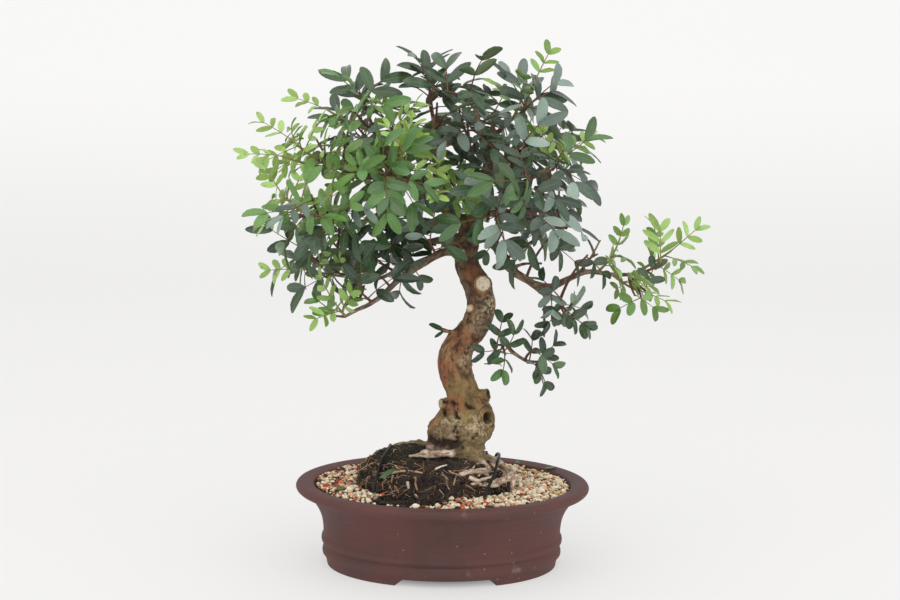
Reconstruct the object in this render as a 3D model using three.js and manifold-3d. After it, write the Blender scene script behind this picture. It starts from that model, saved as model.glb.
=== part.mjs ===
import * as THREE from 'three';
import { mergeVertices } from 'three/addons/utils/BufferGeometryUtils.js';
import Module from 'manifold-3d';

// A pistachio bonsai in its oval clay pot. Millimetres, +Z up, the front of the tree towards -Y.
// While it is built, the origin lies on the floor under the middle of the pot.

// Driving dimensions of the pot
const RIM_HALF_LENGTH = 129.5;
const OVAL_NARROWING = 18;
const OVAL_CORE = 60;
const RIM_HEIGHT = 73.4;
const FOOT_HALF_LENGTH = 101.5;
const FOOT_INNER = 87;
const FOOT_HEIGHT = 6;
const FLOOR_TOP = 12;
const NOTCH_HALF_TOP = 37;
const NOTCH_HALF_BOTTOM = 43.5;
const DRAIN_OFFSET = 45;
const DRAIN_RADIUS = 7.5;
const POT_SEGMENTS = 34;

// Driving dimensions of what fills the pot
const GRIT_LEVEL = 69.4;
const GRIT_RELIEF = 1.4;
const GRIT_RINGS = [104, 93, 82, 70];
const BALL = { x: -6, y: 0, z: 60, length: 70, depth: 59, height: 44, power: 2.3, tilt: 0.05 };
const SCREEN_SIZE = 30;
const SCREEN_HOLE = 8;
const SCREEN_PITCH = 12;
const SCREEN_THICK = 1.2;
const WIRE_RADIUS = 1.3;
const WIRE_SIDES = 5;

// Clearance between neighbours that touch
const GAP = 0.32;

// Leaves: the rachis carries pairs of leaflets and ends in a pair, thick enough to be solid
const MATURE = { rachis: 30, petiole: 0.42, leaflet: 22, width: 9.6, pairs: 2, droop: 0.22 };
const SMALL = { rachis: 20, petiole: 0.42, leaflet: 14, width: 7.4, pairs: 2, droop: 0.2 };
const YOUNG = { rachis: 29, petiole: 0.4, leaflet: 13, width: 5.6, pairs: 3, droop: 0.14 };
const RACHIS_WIDTH = 1.4;
const PETIOLE_FOOT = 0.8;
const BLADE_THICK = 0.8;
const PAIR_ANGLE = 0.95;
const END_ANGLE = 0.52;
const LEAFLET_CUP = 0.16;
const TWIG_RADIUS = 1.1;
const TWIG_SAG = 0.07;
const TWIG_LEAST = 8;
const TWIG_SIDES = 4;
const TIP_SHARE = 0.6;
const FIRST_LEAF = 0.45;
const LEAF_ROLL = 0.7;
const LEAF_CLEARANCE = 0.6;
const SEED = 4221;
const GOLDEN_ANGLE = Math.PI * (3 - Math.sqrt(5));
const SIDE_SPREAD = 1.02;
const TIP_SPREAD = 0.3;
const TRIES = 14;
const TRY_TURN = 0.75;
const TRY_SPREAD = 0.05;
const UPWARD = 0.6;
const FRONTWARD = 0.5;
const OUTWARD = 0.6;
const CROWN_CENTRE = new THREE.Vector3(0, 0, 325);

// Trunk: middle point and radius, from inside the soil to the top of the last bend
const TRUNK = [
  [10, 0, 84, 24], [11, 0, 98, 26], [11, 0, 108, 26], [14, -1, 118, 25.5], [20, -3, 128, 23.8],
  [21, -4, 135, 21.5], [19, -4, 143, 17.5], [15.5, -3, 154, 14], [10, 0, 169, 14.5],
  [8.8, 3, 181, 14.7], [12, 5, 192, 13.9],
  [18, 4, 201, 12.4], [25, 1, 210, 12.2], [30, -2, 222, 12.2], [31, -3, 233, 12.3], [29, -2, 243, 12],
  [24, 0, 254, 11.5], [19, 2, 263, 10.5], [17, 3, 274, 10], [18, 2, 285, 10.3], [20, 0, 297, 9.2],
  [23, 0, 311, 7],
];
const TRUNK_SIDES = 10;
const TRUNK_STEPS = 26;

// Limbs: the middle line, the radius where it starts and where it ends
const LIMBS = {
  left_low: { from: 4.4, to: 1.6, at: [[16, 0, 277], [-1, -6, 278], [-12, -12, 274], [-29, -20, 264],
    [-42, -27, 256], [-55, -33, 244], [-67, -38, 236], [-78, -40, 231], [-87, -42, 226]] },
  left_low_up: { from: 3, to: 1.6, at: [[-10, -11, 275], [-25, -18, 270], [-41, -10, 263], [-54, 0, 255],
    [-73, 8, 248]] },
  left_mid: { from: 4.2, to: 1.6, at: [[18, 0, 289], [3, 8, 288], [-18, 16, 283], [-44, 22, 277],
    [-71, 22, 266], [-93, 20, 261], [-111, 18, 265]] },
  left: { from: 6.4, to: 2.2, at: [[20, 0, 297], [4, -4, 311], [-15, -8, 325], [-35, -8, 336],
    [-54, -6, 341], [-75, -6, 344], [-93, -10, 350], [-112, -16, 357]] },
  left_down: { from: 3.8, to: 1.6, at: [[-54, -6, 341], [-72, -22, 332], [-90, -34, 315], [-108, -40, 311],
    [-121, -42, 313]] },
  left_up: { from: 3.6, to: 1.5, at: [[-35, -8, 336], [-46, 4, 356], [-61, 10, 376], [-71, 12, 399]] },
  left_front: { from: 3, to: 1.4, at: [[-26, -8, 331], [-41, -36, 342], [-53, -60, 352]] },
  left_back: { from: 3.8, to: 1.5, at: [[-18, -7, 327], [-36, 30, 344], [-54, 55, 360], [-67, 75, 367]] },
  top_left: { from: 4, to: 1.5, at: [[-15, -8, 325], [-10, 0, 347], [-10, 4, 370], [-13, 6, 392],
    [-17, 8, 408]] },
  leader: { from: 7, to: 1.8, at: [[22, 0, 306], [26, 0, 323], [31, 4, 340], [35, 6, 357], [37, 4, 375],
    [40, 2, 399]] },
  top_mid: { from: 3.2, to: 1.4, at: [[35, 6, 356], [27, -6, 379], [23, -10, 399], [15, -10, 414]] },
  top_right: { from: 2.8, to: 1.5, at: [[37, 4, 374], [45, 0, 384], [54, -4, 393], [63, -6, 400]] },
  upper_right: { from: 4.4, to: 1.7, at: [[26, 0, 325], [38, -12, 343], [52, -22, 351], [71, -30, 349],
    [87, -34, 352]] },
  right_back: { from: 3.8, to: 1.5, at: [[30, 3, 337], [48, 34, 351], [67, 58, 362], [87, 78, 366]] },
  right_mid: { from: 4.2, to: 1.6, at: [[22, 0, 308], [47, 14, 312], [70, 26, 306], [92, 34, 298],
    [108, 38, 295]] },
  right_front: { from: 3.2, to: 1.4, at: [[23, 0, 311], [35, -28, 321], [47, -52, 327], [57, -72, 324]] },
  right_low: { from: 6.2, to: 2.4, at: [[18, 0, 288], [31, -6, 293], [45, -14, 281], [55, -20, 265],
    [71, -24, 255], [86, -28, 244], [97, -30, 240]] },
  right_long: { from: 3.8, to: 1.8, at: [[76, -25, 252], [90, -20, 250], [102, -16, 255], [115, -14, 261],
    [126, -14, 263], [141, -16, 261], [158, -18, 261]] },
  dead_fork: { from: 1.7, to: 1, at: [[114, -14, 261], [124, -13, 274], [133, -12, 291]] },
  dead_spur: { from: 1.3, to: 0.9, at: [[125, -13, 275], [131, -16, 279]] },
  inner_spur: { from: 2, to: 1.2, at: [[54, -19, 266], [66, -22, 270], [82, -24, 271]] },
  low_right: { from: 3.8, to: 1.6, at: [[32, 0, 215], [40, -14, 213], [47, -20, 208], [56, -26, 195],
    [68, -30, 187]] },
  back_up: { from: 3.6, to: 1.5, at: [[28, 2, 326], [25, 34, 341], [23, 58, 362], [21, 72, 382]] },
  back_low: { from: 4, to: 1.5, at: [[20, 2, 296], [22, 32, 309], [20, 62, 317], [16, 86, 321]] },
};

// Roots that show on the soil, each starting inside the foot of the trunk
const ROOTS = [
  { from: 5, to: 2.6, at: [[11, -12, 106], [6, -26, 105], [-14, -31, 104], [-32, -30, 102]] },
  { from: 4.6, to: 2.6, at: [[24, -6, 100], [48, -12, 93], [59, -20, 85], [49, -37, 82], [38, -45, 81],
    [21, -50, 82]] },
  { from: 3.6, to: 2.4, at: [[20, -8, 100], [38, -30, 92], [24, -42, 91], [11, -46, 90]] },
  { from: 3.4, to: 2.2, at: [[50, -13, 92], [60, -24, 82], [59, -33, 70], [58, -36, 60]] },
  { from: 5, to: 2.4, at: [[0, 8, 102], [-28, 20, 102], [-54, 25, 91], [-70, 25, 71], [-72, 24, 60]] },
  { from: 5, to: 2.4, at: [[18, 8, 100], [30, 36, 96], [37, 52, 82], [41, 58, 66], [41, 57, 58]] },
];

// Black wires that hold the root ball down: each comes up through a drain hole, over the ball and back
const WIRE_PATHS = {
  anchor_wire_right: [[60, -4, 3], [52, -4, 3], [49, -4, 5], [48.6, -4, 14], [42, -50, 42],
    [33, -67, 63], [33, -62, 75], [41, -51, 90], [46, -32, 99], [49, -8, 99], [49, 20, 93], [49, 44, 80],
    [51, 58, 62], [50, 44, 38], [48.6, 4, 14], [49, 4, 5], [52, 4, 3], [60, 4, 3]],
  anchor_wire_left: [[-60, -4, 3], [-52, -4, 3], [-49, -4, 5], [-48.6, -4, 14], [-60, -46, 40],
    [-63, -51, 63], [-61, -44, 78], [-58, -36, 89], [-53, -20, 99], [-48, 0, 103], [-46, 24, 100],
    [-46, 46, 87], [-47, 59, 64], [-46, 46, 40], [-48.6, 4, 14], [-49, 4, 5], [-52, 4, 3],
    [-60, 4, 3]],
};

// Leafy shoots: the limb and how far along it each starts, the middle of the leaves at its end,
// the kind of leaf and how many
const SHOOTS = [
  ['left_up', 1, [-78, -2, 421], MATURE, 4], ['left_up', 0.72, [-118, -6, 405], YOUNG, 2],
  ['left_up', 0.5, [-43, -22, 394], YOUNG, 2], ['left', 1, [-148, -22, 384], YOUNG, 4],
  ['left', 0.84, [-156, -44, 364], YOUNG, 2], ['left_down', 1, [-154, -42, 338], YOUNG, 3],
  ['left_down', 0.85, [-146, -58, 316], MATURE, 3], ['left', 0.8, [-92, -38, 386], MATURE, 2],
  ['left', 0.68, [-83, -60, 345], MATURE, 2], ['left_front', 1, [-60, -94, 342], MATURE, 3],
  ['left_front', 0.55, [-36, -78, 374], YOUNG, 2], ['left_down', 0.6, [-101, -64, 296], MATURE, 3],
  ['left_mid', 1, [-140, 22, 288], MATURE, 3], ['left_mid', 0.72, [-112, 66, 290], MATURE, 2],
  ['left_mid', 0.55, [-68, -8, 303], MATURE, 2], ['left_low_up', 1, [-114, 16, 266], MATURE, 2],
  ['left_low_up', 0.8, [-142, 0, 263], YOUNG, 2], ['left_low', 1, [-104, -46, 246], YOUNG, 3],
  ['left_low', 0.72, [-84, -58, 257], MATURE, 2], ['left_low', 0.4, [-46, 34, 276], MATURE, 2],
  ['left_low', 0.22, [-20, -52, 299], MATURE, 2], ['top_left', 1, [-16, 4, 427], MATURE, 5],
  ['top_left', 0.65, [0, -26, 404], MATURE, 2], ['top_mid', 1, [20, -14, 424], MATURE, 3],
  ['leader', 1, [38, 8, 398], MATURE, 2], ['top_right', 1, [76, -10, 414], MATURE, 3],
  ['top_right', 0.7, [66, -26, 424], YOUNG, 2], ['top_mid', 0.45, [8, -46, 383], MATURE, 2],
  ['upper_right', 1, [100, -42, 370], MATURE, 3], ['upper_right', 0.86, [110, -20, 378], YOUNG, 3],
  ['upper_right', 0.75, [94, -68, 341], MATURE, 3], ['upper_right', 0.5, [58, -54, 380], MATURE, 2],
  ['upper_right', 0.28, [34, -64, 357], MATURE, 2], ['right_back', 1, [121, 88, 362], MATURE, 3],
  ['right_back', 0.6, [84, 60, 374], MATURE, 2], ['right_mid', 1, [122, 28, 318], MATURE, 2],
  ['right_mid', 0.62, [104, 0, 299], MATURE, 2], ['right_mid', 0.7, [104, 84, 300], MATURE, 3],
  ['right_front', 1, [80, -92, 312], MATURE, 3], ['right_front', 0.5, [34, -86, 306], MATURE, 3],
  ['right_long', 1, [208, -16, 290], YOUNG, 5], ['right_long', 0.86, [176, -28, 240], YOUNG, 3],
  ['right_long', 0.72, [154, -22, 290], YOUNG, 2], ['right_low', 1, [106, -36, 222], SMALL, 2],
  ['low_right', 1, [90, -34, 186], SMALL, 4], ['low_right', 0.5, [52, -38, 184], SMALL, 3],
  ['left', 0.16, [-12, -66, 343], YOUNG, 3], ['back_up', 1, [22, 100, 410], MATURE, 3],
  ['back_low', 1, [10, 116, 330], MATURE, 3], ['back_low', 0.7, [56, 98, 296], MATURE, 2],
  ['left_back', 1, [-90, 96, 381], MATURE, 3], ['left_back', 0.55, [-46, 84, 398], MATURE, 2],
];

const wasm = await Module();
wasm.setup();

// Numbers between 0 and 1 that repeat for the same seed
function seeded(seed) {
  let state = seed >>> 0;
  return () => {
    state = (state + 0x6d2b79f5) >>> 0;
    let mixed = Math.imul(state ^ (state >>> 15), state | 1);
    mixed = (mixed + Math.imul(mixed ^ (mixed >>> 7), mixed | 61)) ^ mixed;
    return ((mixed ^ (mixed >>> 14)) >>> 0) / 4294967296;
  };
}

// A smooth wave over space, from -1 to 1, with lumps about as wide as the given size
function lumps(point, size) {
  const [x, y, z] = point.toArray().map(value => value / size);
  return Math.sin(2 * x + 1.7 * Math.sin(y + z)) * Math.cos(2.3 * y + 1.4 * Math.sin(1.3 * z - x));
}

// A solid from a closed three.js shape
function asSolid(geometry) {
  const bare = geometry.clone();
  bare.deleteAttribute('normal');
  bare.deleteAttribute('uv');
  const merged = mergeVertices(bare, 1e-3);
  const vertProperties = merged.attributes.position.array;
  return new wasm.Manifold(new wasm.Mesh({ numProp: 3, vertProperties, triVerts: outwardTriangles(merged) }));
}

// The triangles of a closed shape, turned so that they face out
function outwardTriangles(geometry) {
  const triangles = Uint32Array.from(geometry.index.array);
  const [a, b, c] = [new THREE.Vector3(), new THREE.Vector3(), new THREE.Vector3()];
  let volume = 0;
  for (let i = 0; i < triangles.length; i += 3) {
    a.fromBufferAttribute(geometry.attributes.position, triangles[i]);
    b.fromBufferAttribute(geometry.attributes.position, triangles[i + 1]);
    c.fromBufferAttribute(geometry.attributes.position, triangles[i + 2]);
    volume += a.dot(b.cross(c));
  }
  return volume < 0 ? triangles.reverse() : triangles;
}

// Several solids as one
const joined = solids => solids.reduce((whole, solid) => whole.add(solid));

// The main piece of a solid that a cut may have left in several
function mainPiece(solid) {
  return solid.decompose().reduce((main, piece) => (piece.volume() > main.volume() ? piece : main));
}

// A named mesh from a solid
function meshOf(name, solid, color, roughness) {
  const { vertProperties, triVerts } = solid.getMesh();
  const geometry = new THREE.BufferGeometry();
  geometry.setAttribute('position', new THREE.BufferAttribute(new Float32Array(vertProperties), 3));
  geometry.setIndex(new THREE.BufferAttribute(new Uint32Array(triVerts), 1));
  const flat = geometry.toNonIndexed();
  flat.computeVertexNormals();
  const mesh = new THREE.Mesh(flat, new THREE.MeshStandardMaterial({ color, roughness, metalness: 0 }));
  mesh.name = name;
  return mesh;
}

// A smooth curve through the given points
function curveThrough(points) {
  const corners = points.map(([x, y, z]) => new THREE.Vector3(x, y, z));
  return new THREE.CatmullRomCurve3(corners, false, 'catmullrom', 0.5);
}

// Sections square to a curve, each turned as little as it can be from the one before
function sectionsAlong(curve, steps) {
  let across = new THREE.Vector3(1, 0, 0);
  if (Math.abs(curve.getTangent(0).x) > 0.8) {
    across = new THREE.Vector3(0, 1, 0);
  }
  return Array.from({ length: steps + 1 }, (_, step) => {
    const heading = curve.getTangent(step / steps);
    across = across.clone().addScaledVector(heading, -across.dot(heading)).normalize();
    return { centre: curve.getPoint(step / steps), across, over: heading.clone().cross(across) };
  });
}

// A cylinder bent along a curve; radiusAt gives its radius from how far along and which way round
function bentCylinder(curve, radiusAt, sides, steps) {
  const body = new THREE.CylinderGeometry(1, 1, 1, sides, steps);
  const sections = sectionsAlong(curve, steps);
  const spots = body.attributes.position;
  for (let i = 0; i < spots.count; i += 1) {
    const step = Math.round((spots.getY(i) + 0.5) * steps);
    const round = Math.atan2(spots.getX(i), spots.getZ(i));
    const { centre, across, over } = sections[step];
    const reach = Math.hypot(spots.getX(i), spots.getZ(i)) * radiusAt(step / steps, round, centre);
    const spot = centre.clone().addScaledVector(across, Math.cos(round) * reach)
      .addScaledVector(over, Math.sin(round) * reach);
    spots.setXYZ(i, spot.x, spot.y, spot.z);
  }
  return asSolid(body);
}

// A round shape turned about the upright axis and drawn out to the pot's oval
function ovalTurned(profile, segments, relief = () => 0) {
  const body = new THREE.LatheGeometry(profile.map(([reach, z]) => new THREE.Vector2(reach, z)), segments);
  body.rotateX(Math.PI / 2);
  const spots = body.attributes.position;
  for (let i = 0; i < spots.count; i += 1) {
    const reach = Math.hypot(spots.getX(i), spots.getY(i));
    const narrowing = OVAL_NARROWING * Math.min(1, reach / OVAL_CORE);
    const squeeze = reach > 0 ? (reach - narrowing) / reach : 1;
    spots.setY(i, spots.getY(i) * squeeze);
    spots.setZ(i, spots.getZ(i) + relief(spots.getX(i), spots.getY(i), spots.getZ(i)));
  }
  return asSolid(body);
}

function uprightCylinder(radius, bottom, top, x, y, sides = 12) {
  const body = new THREE.CylinderGeometry(radius, radius, top - bottom, sides);
  body.rotateX(Math.PI / 2).translate(x, y, (bottom + top) / 2);
  return asSolid(body);
}

// Pot: a flat rolled rim over a hollow neck, two soft bands, and two long feet under the ends
const POT_OUTSIDE = [
  [FOOT_HALF_LENGTH, 0], [103, FOOT_HEIGHT + 1], [105.6, 10], [105.6, 14], [104.1, 17.4], [106.5, 21],
  [106.5, 25], [105, 29], [106.5, 42], [111, 52.5], [117.5, 60.5], [127, 65.6],
  [RIM_HALF_LENGTH, 69.2], [128.4, 72.2], [125.4, RIM_HEIGHT],
];
const POT_INSIDE = [
  [115.6, RIM_HEIGHT - 0.9], [113.4, RIM_HEIGHT - 2.8], [111, 64], [100, 38], [94, FLOOR_TOP],
];

function pot() {
  const underside = [[0, FOOT_HEIGHT], [FOOT_INNER - 1, FOOT_HEIGHT], [FOOT_INNER, 0]];
  const body = ovalTurned([...underside, ...POT_OUTSIDE, ...POT_INSIDE, [0, FLOOR_TOP]], POT_SEGMENTS);
  const notch = new THREE.Shape();
  notch.moveTo(-NOTCH_HALF_BOTTOM - 1, -1);
  notch.lineTo(NOTCH_HALF_BOTTOM + 1, -1);
  notch.lineTo(NOTCH_HALF_TOP, FOOT_HEIGHT);
  notch.lineTo(-NOTCH_HALF_TOP, FOOT_HEIGHT);
  const passage = new THREE.ExtrudeGeometry(notch, { depth: 2 * RIM_HALF_LENGTH, bevelEnabled: false });
  passage.rotateX(Math.PI / 2).translate(0, RIM_HALF_LENGTH, 0);
  const drains = [-1, 1].map(side => (
    uprightCylinder(DRAIN_RADIUS, 0, FLOOR_TOP + 5, side * DRAIN_OFFSET, 0)));
  return body.subtract(asSolid(passage)).subtract(joined(drains));
}

function boxAt(width, depth, height, x, y, z) {
  return asSolid(new THREE.BoxGeometry(width, depth, height).translate(x, y, z));
}

// Plastic mesh over each drain hole: a plate, then its square openings
function screenBlank(side, grow) {
  const width = SCREEN_SIZE + 2 * grow;
  const height = SCREEN_THICK + 2 * grow;
  return boxAt(width, width, height, side * DRAIN_OFFSET, 0, FLOOR_TOP + GAP + SCREEN_THICK / 2);
}

function screen(side) {
  const steps = [-0.5, 0.5];
  const openings = steps.flatMap(column => steps.map(row => boxAt(SCREEN_HOLE, SCREEN_HOLE,
    4 * SCREEN_THICK, side * DRAIN_OFFSET + column * SCREEN_PITCH, row * SCREEN_PITCH, FLOOR_TOP)));
  return screenBlank(side, 0).subtract(joined(openings));
}

// Root ball: a clod of old soil, a squarish rounded mound with a lumpy skin
function rootBall(grow = 0) {
  const body = new THREE.SphereGeometry(1, 20, 12);
  body.rotateX(Math.PI / 2);
  const spots = body.attributes.position;
  const spot = new THREE.Vector3();
  for (let i = 0; i < spots.count; i += 1) {
    spot.fromBufferAttribute(spots, i);
    const norm = [spot.x, spot.y, spot.z].reduce((sum, value) => sum + Math.abs(value) ** BALL.power, 0);
    spot.multiplyScalar(norm ** (-1 / BALL.power));
    spot.multiply(new THREE.Vector3(BALL.length + grow, BALL.depth + grow, BALL.height + grow));
    const swell = 1 + 0.03 * lumps(spot, 17) + 0.015 * lumps(spot, 7);
    spot.multiplyScalar(swell);
    spot.z -= BALL.tilt * spot.x;
    spots.setXYZ(i, spot.x + BALL.x, spot.y + BALL.y, spot.z + BALL.z);
  }
  return asSolid(body);
}

// A number from 0 to 1 that jumps about from place to place
function speckle(x, y) {
  const scattered = Math.sin(x * 12.9898 + y * 78.233) * 43758.5453;
  return scattered - Math.floor(scattered);
}

// Grit: fills the pot round the root ball, its top a bed of small stones
function gritBed() {
  const bottom = FLOOR_TOP + GAP;
  const wall = POT_INSIDE.slice(2).map(([reach, z]) => [reach - GAP, Math.max(z, bottom)]).reverse();
  const top = GRIT_RINGS.map(reach => [reach, GRIT_LEVEL]);
  const stones = (x, y, z) => (z < GRIT_LEVEL ? 0 : GRIT_RELIEF * (2 * speckle(x, y) - 1));
  return ovalTurned([[0, bottom], ...wall, ...top, [0, GRIT_LEVEL]], POT_SEGMENTS, stones);
}

// Trunk: ribs and knots swell its radius, most of all over the old bulge near the soil
function trunkRadius(grow) {
  const reach = curveThrough(TRUNK.map(([, , , radius], i) => [radius, i, 0]));
  return (along, round, centre) => {
    const radius = reach.getPoint(along).x;
    const old = THREE.MathUtils.clamp((160 - centre.z) / 45, 0, 1);
    const ribs = 0.025 * Math.sin(3 * round + centre.z / 21) + 0.02 * Math.sin(5 * round - centre.z / 13);
    const knots = 0.09 * old * Math.sin(4 * round + centre.z / 9) * Math.cos(centre.z / 7 + round);
    return radius * (1 + ribs + knots) + grow;
  };
}

// A radius that thins towards the tip
const tapering = (from, to, grow) => along => from + (to - from) * along ** 0.8 + grow;

// Limbs and roots: the thicker, the more sides
function limbSolid({ from, to, at }, grow) {
  const sides = THREE.MathUtils.clamp(Math.ceil(from), 4, 6);
  return bentCylinder(curveThrough(at), tapering(from, to, grow), sides, at.length - 1);
}

// A short cut stub or knob pointing away from the trunk
function stub(foot, tip, radius, grow) {
  const sides = 6;
  const curve = new THREE.LineCurve3(new THREE.Vector3(...foot), new THREE.Vector3(...tip));
  return bentCylinder(curve, along => radius * (1.12 - 0.14 * along) + grow, sides, 1);
}

// Stubs of cut branches, and the old hollow in the bulge of the trunk
const STUBS = [
  { foot: [29, -4, 250], tip: [31.5, -14.2, 251.5], radius: 7 },
  { foot: [17, 0, 276], tip: [13, -10.6, 278], radius: 3 },
  { foot: [26, -4, 229], tip: [20, -14.6, 230], radius: 3.2 },
  { foot: [26, -4, 150], tip: [38, -9, 153], radius: 5 },
  { foot: [12, -4, 143], tip: [-3.5, -9, 144.5], radius: 4.4 },
  { foot: [12, 2, 284], tip: [-0.5, -4, 289], radius: 5 },
  { foot: [10, 0, 206], tip: [-3, -5, 209], radius: 1.8 },
];
const HOLLOW = { mouth: [38.5, -19.5, 134], radius: 4.2 };

// The whole wood: trunk, limbs, roots that show, and stubs
function wood(grow = 0) {
  const middle = curveThrough(TRUNK.map(point => point.slice(0, 3)));
  const trunk = bentCylinder(middle, trunkRadius(grow), TRUNK_SIDES, TRUNK_STEPS);
  const limbs = [...Object.values(LIMBS), ...ROOTS].map(limb => limbSolid(limb, grow));
  const stubs = STUBS.map(({ foot, tip, radius }) => stub(foot, tip, radius, grow));
  const whole = joined([trunk, ...limbs, ...stubs]);
  const hollow = new THREE.SphereGeometry(HOLLOW.radius - grow, 8, 6);
  hollow.translate(...HOLLOW.mouth);
  return whole.subtract(asSolid(hollow));
}

function wire(path, grow = 0) {
  return bentCylinder(curveThrough(path), () => WIRE_RADIUS + grow, WIRE_SIDES, path.length - 1);
}

// Leaf shape, flat: s runs along the rachis and q across it
function leafletFrame(kind, pair) {
  const last = pair === kind.pairs - 1;
  const share = kind.petiole + (1 - kind.petiole) * pair / (kind.pairs - 1);
  return { foot: kind.rachis * share, angle: last ? END_ANGLE : PAIR_ANGLE, length: kind.leaflet };
}

function leafletPoint({ foot, angle }, along, across) {
  const s = foot + along * Math.cos(angle) + across * Math.sin(angle);
  const q = RACHIS_WIDTH / 2 + along * Math.sin(angle) - across * Math.cos(angle);
  return [s, q];
}

function leafOutline(kind) {
  const half = RACHIS_WIDTH / 2;
  const side = [[0, PETIOLE_FOOT / 2]];
  for (let pair = 0; pair < kind.pairs; pair += 1) {
    const frame = leafletFrame(kind, pair);
    side.push([frame.foot - half, half]);
    side.push(leafletPoint(frame, 0.5 * frame.length, -kind.width / 2));
    side.push(leafletPoint(frame, frame.length, 0));
    side.push(leafletPoint(frame, 0.5 * frame.length, kind.width / 2));
    if (pair < kind.pairs - 1) {
      side.push([frame.foot + 2 * half, half]);
    }
  }
  const apex = [kind.rachis + 2 * half, 0];
  const mirrored = side.map(([s, q]) => [s, -q]).reverse();
  return [...side, apex, ...mirrored];
}

// Where a point of the flat leaf lies once the leaf has grown from its foot and arched over
function placeOnLeaf(leaf, s, q, height) {
  const rise = LEAFLET_CUP * Math.abs(q) - leaf.kind.droop * s * s / leaf.kind.rachis;
  return leaf.foot.clone()
    .addScaledVector(leaf.along, s)
    .addScaledVector(leaf.side, q)
    .addScaledVector(leaf.up, rise + height);
}

function leafSolid(leaf) {
  const outline = new THREE.Shape(leafOutline(leaf.kind).map(([s, q]) => new THREE.Vector2(s, q)));
  const blade = new THREE.ExtrudeGeometry(outline, { depth: BLADE_THICK, bevelEnabled: false });
  const spots = blade.attributes.position;
  for (let i = 0; i < spots.count; i += 1) {
    const place = placeOnLeaf(leaf, spots.getX(i), spots.getY(i), spots.getZ(i) - BLADE_THICK / 2);
    spots.setXYZ(i, place.x, place.y, place.z);
  }
  return asSolid(blade);
}

// Balls of air that a leaf needs for itself: along its rachis and along each leaflet
function leafRoom(leaf) {
  const { kind } = leaf;
  const room = [0.3, 0.45, 0.6, 0.8, 1].map(share => (
    { centre: placeOnLeaf(leaf, share * kind.rachis, 0, 0), radius: RACHIS_WIDTH }));
  for (let pair = 0; pair < kind.pairs; pair += 1) {
    const frame = leafletFrame(kind, pair);
    for (const [share, fill] of [[0.22, 0.4], [0.5, 0.58], [0.8, 0.42], [1, 0.2]]) {
      for (const mirror of [1, -1]) {
        const [s, q] = leafletPoint(frame, share * frame.length, 0);
        room.push({ centre: placeOnLeaf(leaf, s, mirror * q, 0), radius: fill * kind.width });
      }
    }
  }
  return room;
}

// Whether the balls of one room stay clear of those already taken
const clear = (room, taken) => room.every(({ centre, radius }) => (
  taken.every(other => centre.distanceTo(other.centre) > radius + other.radius)));

// The stem of a shoot: from its limb to just short of the middle of its last leaves
function twigOf([limb, share, tip, kind]) {
  const foot = curveThrough(LIMBS[limb].at).getPoint(share);
  const reach = foot.distanceTo(new THREE.Vector3(...tip));
  const length = Math.max(TWIG_LEAST, reach - TIP_SHARE * kind.rachis);
  const end = foot.clone().lerp(new THREE.Vector3(...tip), length / reach);
  const middle = foot.clone().add(end).multiplyScalar(0.5);
  middle.z -= TWIG_SAG * foot.distanceTo(end);
  return new THREE.QuadraticBezierCurve3(foot, middle, end);
}

// A leaf at one place on its twig; each further try turns it round the twig and opens it wider
function leafOnTwig(twig, kind, place, draw, attempt) {
  const heading = twig.getTangent(place.share);
  const level = new THREE.Vector3(heading.y, -heading.x, 0).normalize();
  const over = level.clone().cross(heading);
  const turn = draw.phase + place.number * GOLDEN_ANGLE + attempt * TRY_TURN;
  const spread = (place.last ? TIP_SPREAD : SIDE_SPREAD) + attempt * TRY_SPREAD;
  const along = heading.clone().multiplyScalar(Math.cos(spread))
    .addScaledVector(level, Math.sin(spread) * Math.cos(turn))
    .addScaledVector(over, Math.sin(spread) * Math.sin(turn));
  const foot = twig.getPoint(place.share);
  const outward = foot.clone().sub(CROWN_CENTRE).normalize();
  const up = new THREE.Vector3(0, -FRONTWARD, UPWARD).addScaledVector(outward, OUTWARD);
  up.addScaledVector(along, -up.dot(along)).normalize();
  const side = along.clone().cross(up);
  up.multiplyScalar(Math.cos(draw.roll)).addScaledVector(side, Math.sin(draw.roll));
  return { kind, foot, along, up, side: along.clone().cross(up) };
}

// Limbs keep the air round them too
function limbRoom() {
  return [...Object.values(LIMBS), { from: 12, to: 9, at: TRUNK.map(point => point.slice(0, 3)) }]
    .flatMap(({ from, to, at }) => {
      const curve = curveThrough(at);
      const count = at.length * 5;
      return Array.from({ length: count + 1 }, (_, i) => (
        { centre: curve.getPoint(i / count), radius: from + (to - from) * i / count + LEAF_CLEARANCE }));
    });
}

function twigRoom(twig) {
  const shares = [0.15, 0.3, 0.45, 0.6, 0.75, 0.9, 1];
  return shares.map(share => ({ centre: twig.getPoint(share), radius: TWIG_RADIUS + LEAF_CLEARANCE }));
}

// Leaves of every shoot, grown one after the other, each in the first try that has room
function growLeaves() {
  const twigs = SHOOTS.map(twigOf);
  const limbs = limbRoom();
  const twigRooms = twigs.map(twigRoom);
  const leaves = [];
  SHOOTS.forEach(([, , , kind, count], index) => {
    const random = seeded(SEED + 101 * index);
    const others = twigRooms.filter((_, other) => other !== index).flat();
    for (let number = 0; number < count; number += 1) {
      const share = count > 1 ? FIRST_LEAF + (1 - FIRST_LEAF) * number / (count - 1) : 1;
      const place = { number, share, last: number === count - 1 };
      const draw = { phase: random() * 2 * Math.PI, roll: (random() - 0.5) * LEAF_ROLL };
      for (let attempt = 0; attempt < TRIES; attempt += 1) {
        const leaf = leafOnTwig(twigs[index], kind, place, draw, attempt);
        const room = leafRoom(leaf);
        if (clear(room, [...others, ...limbs, ...leaves.flatMap(grown => grown.room)])) {
          leaves.push({ ...leaf, room, shoot: index });
          break;
        }
      }
    }
  });
  return { twigs, leaves };
}

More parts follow.
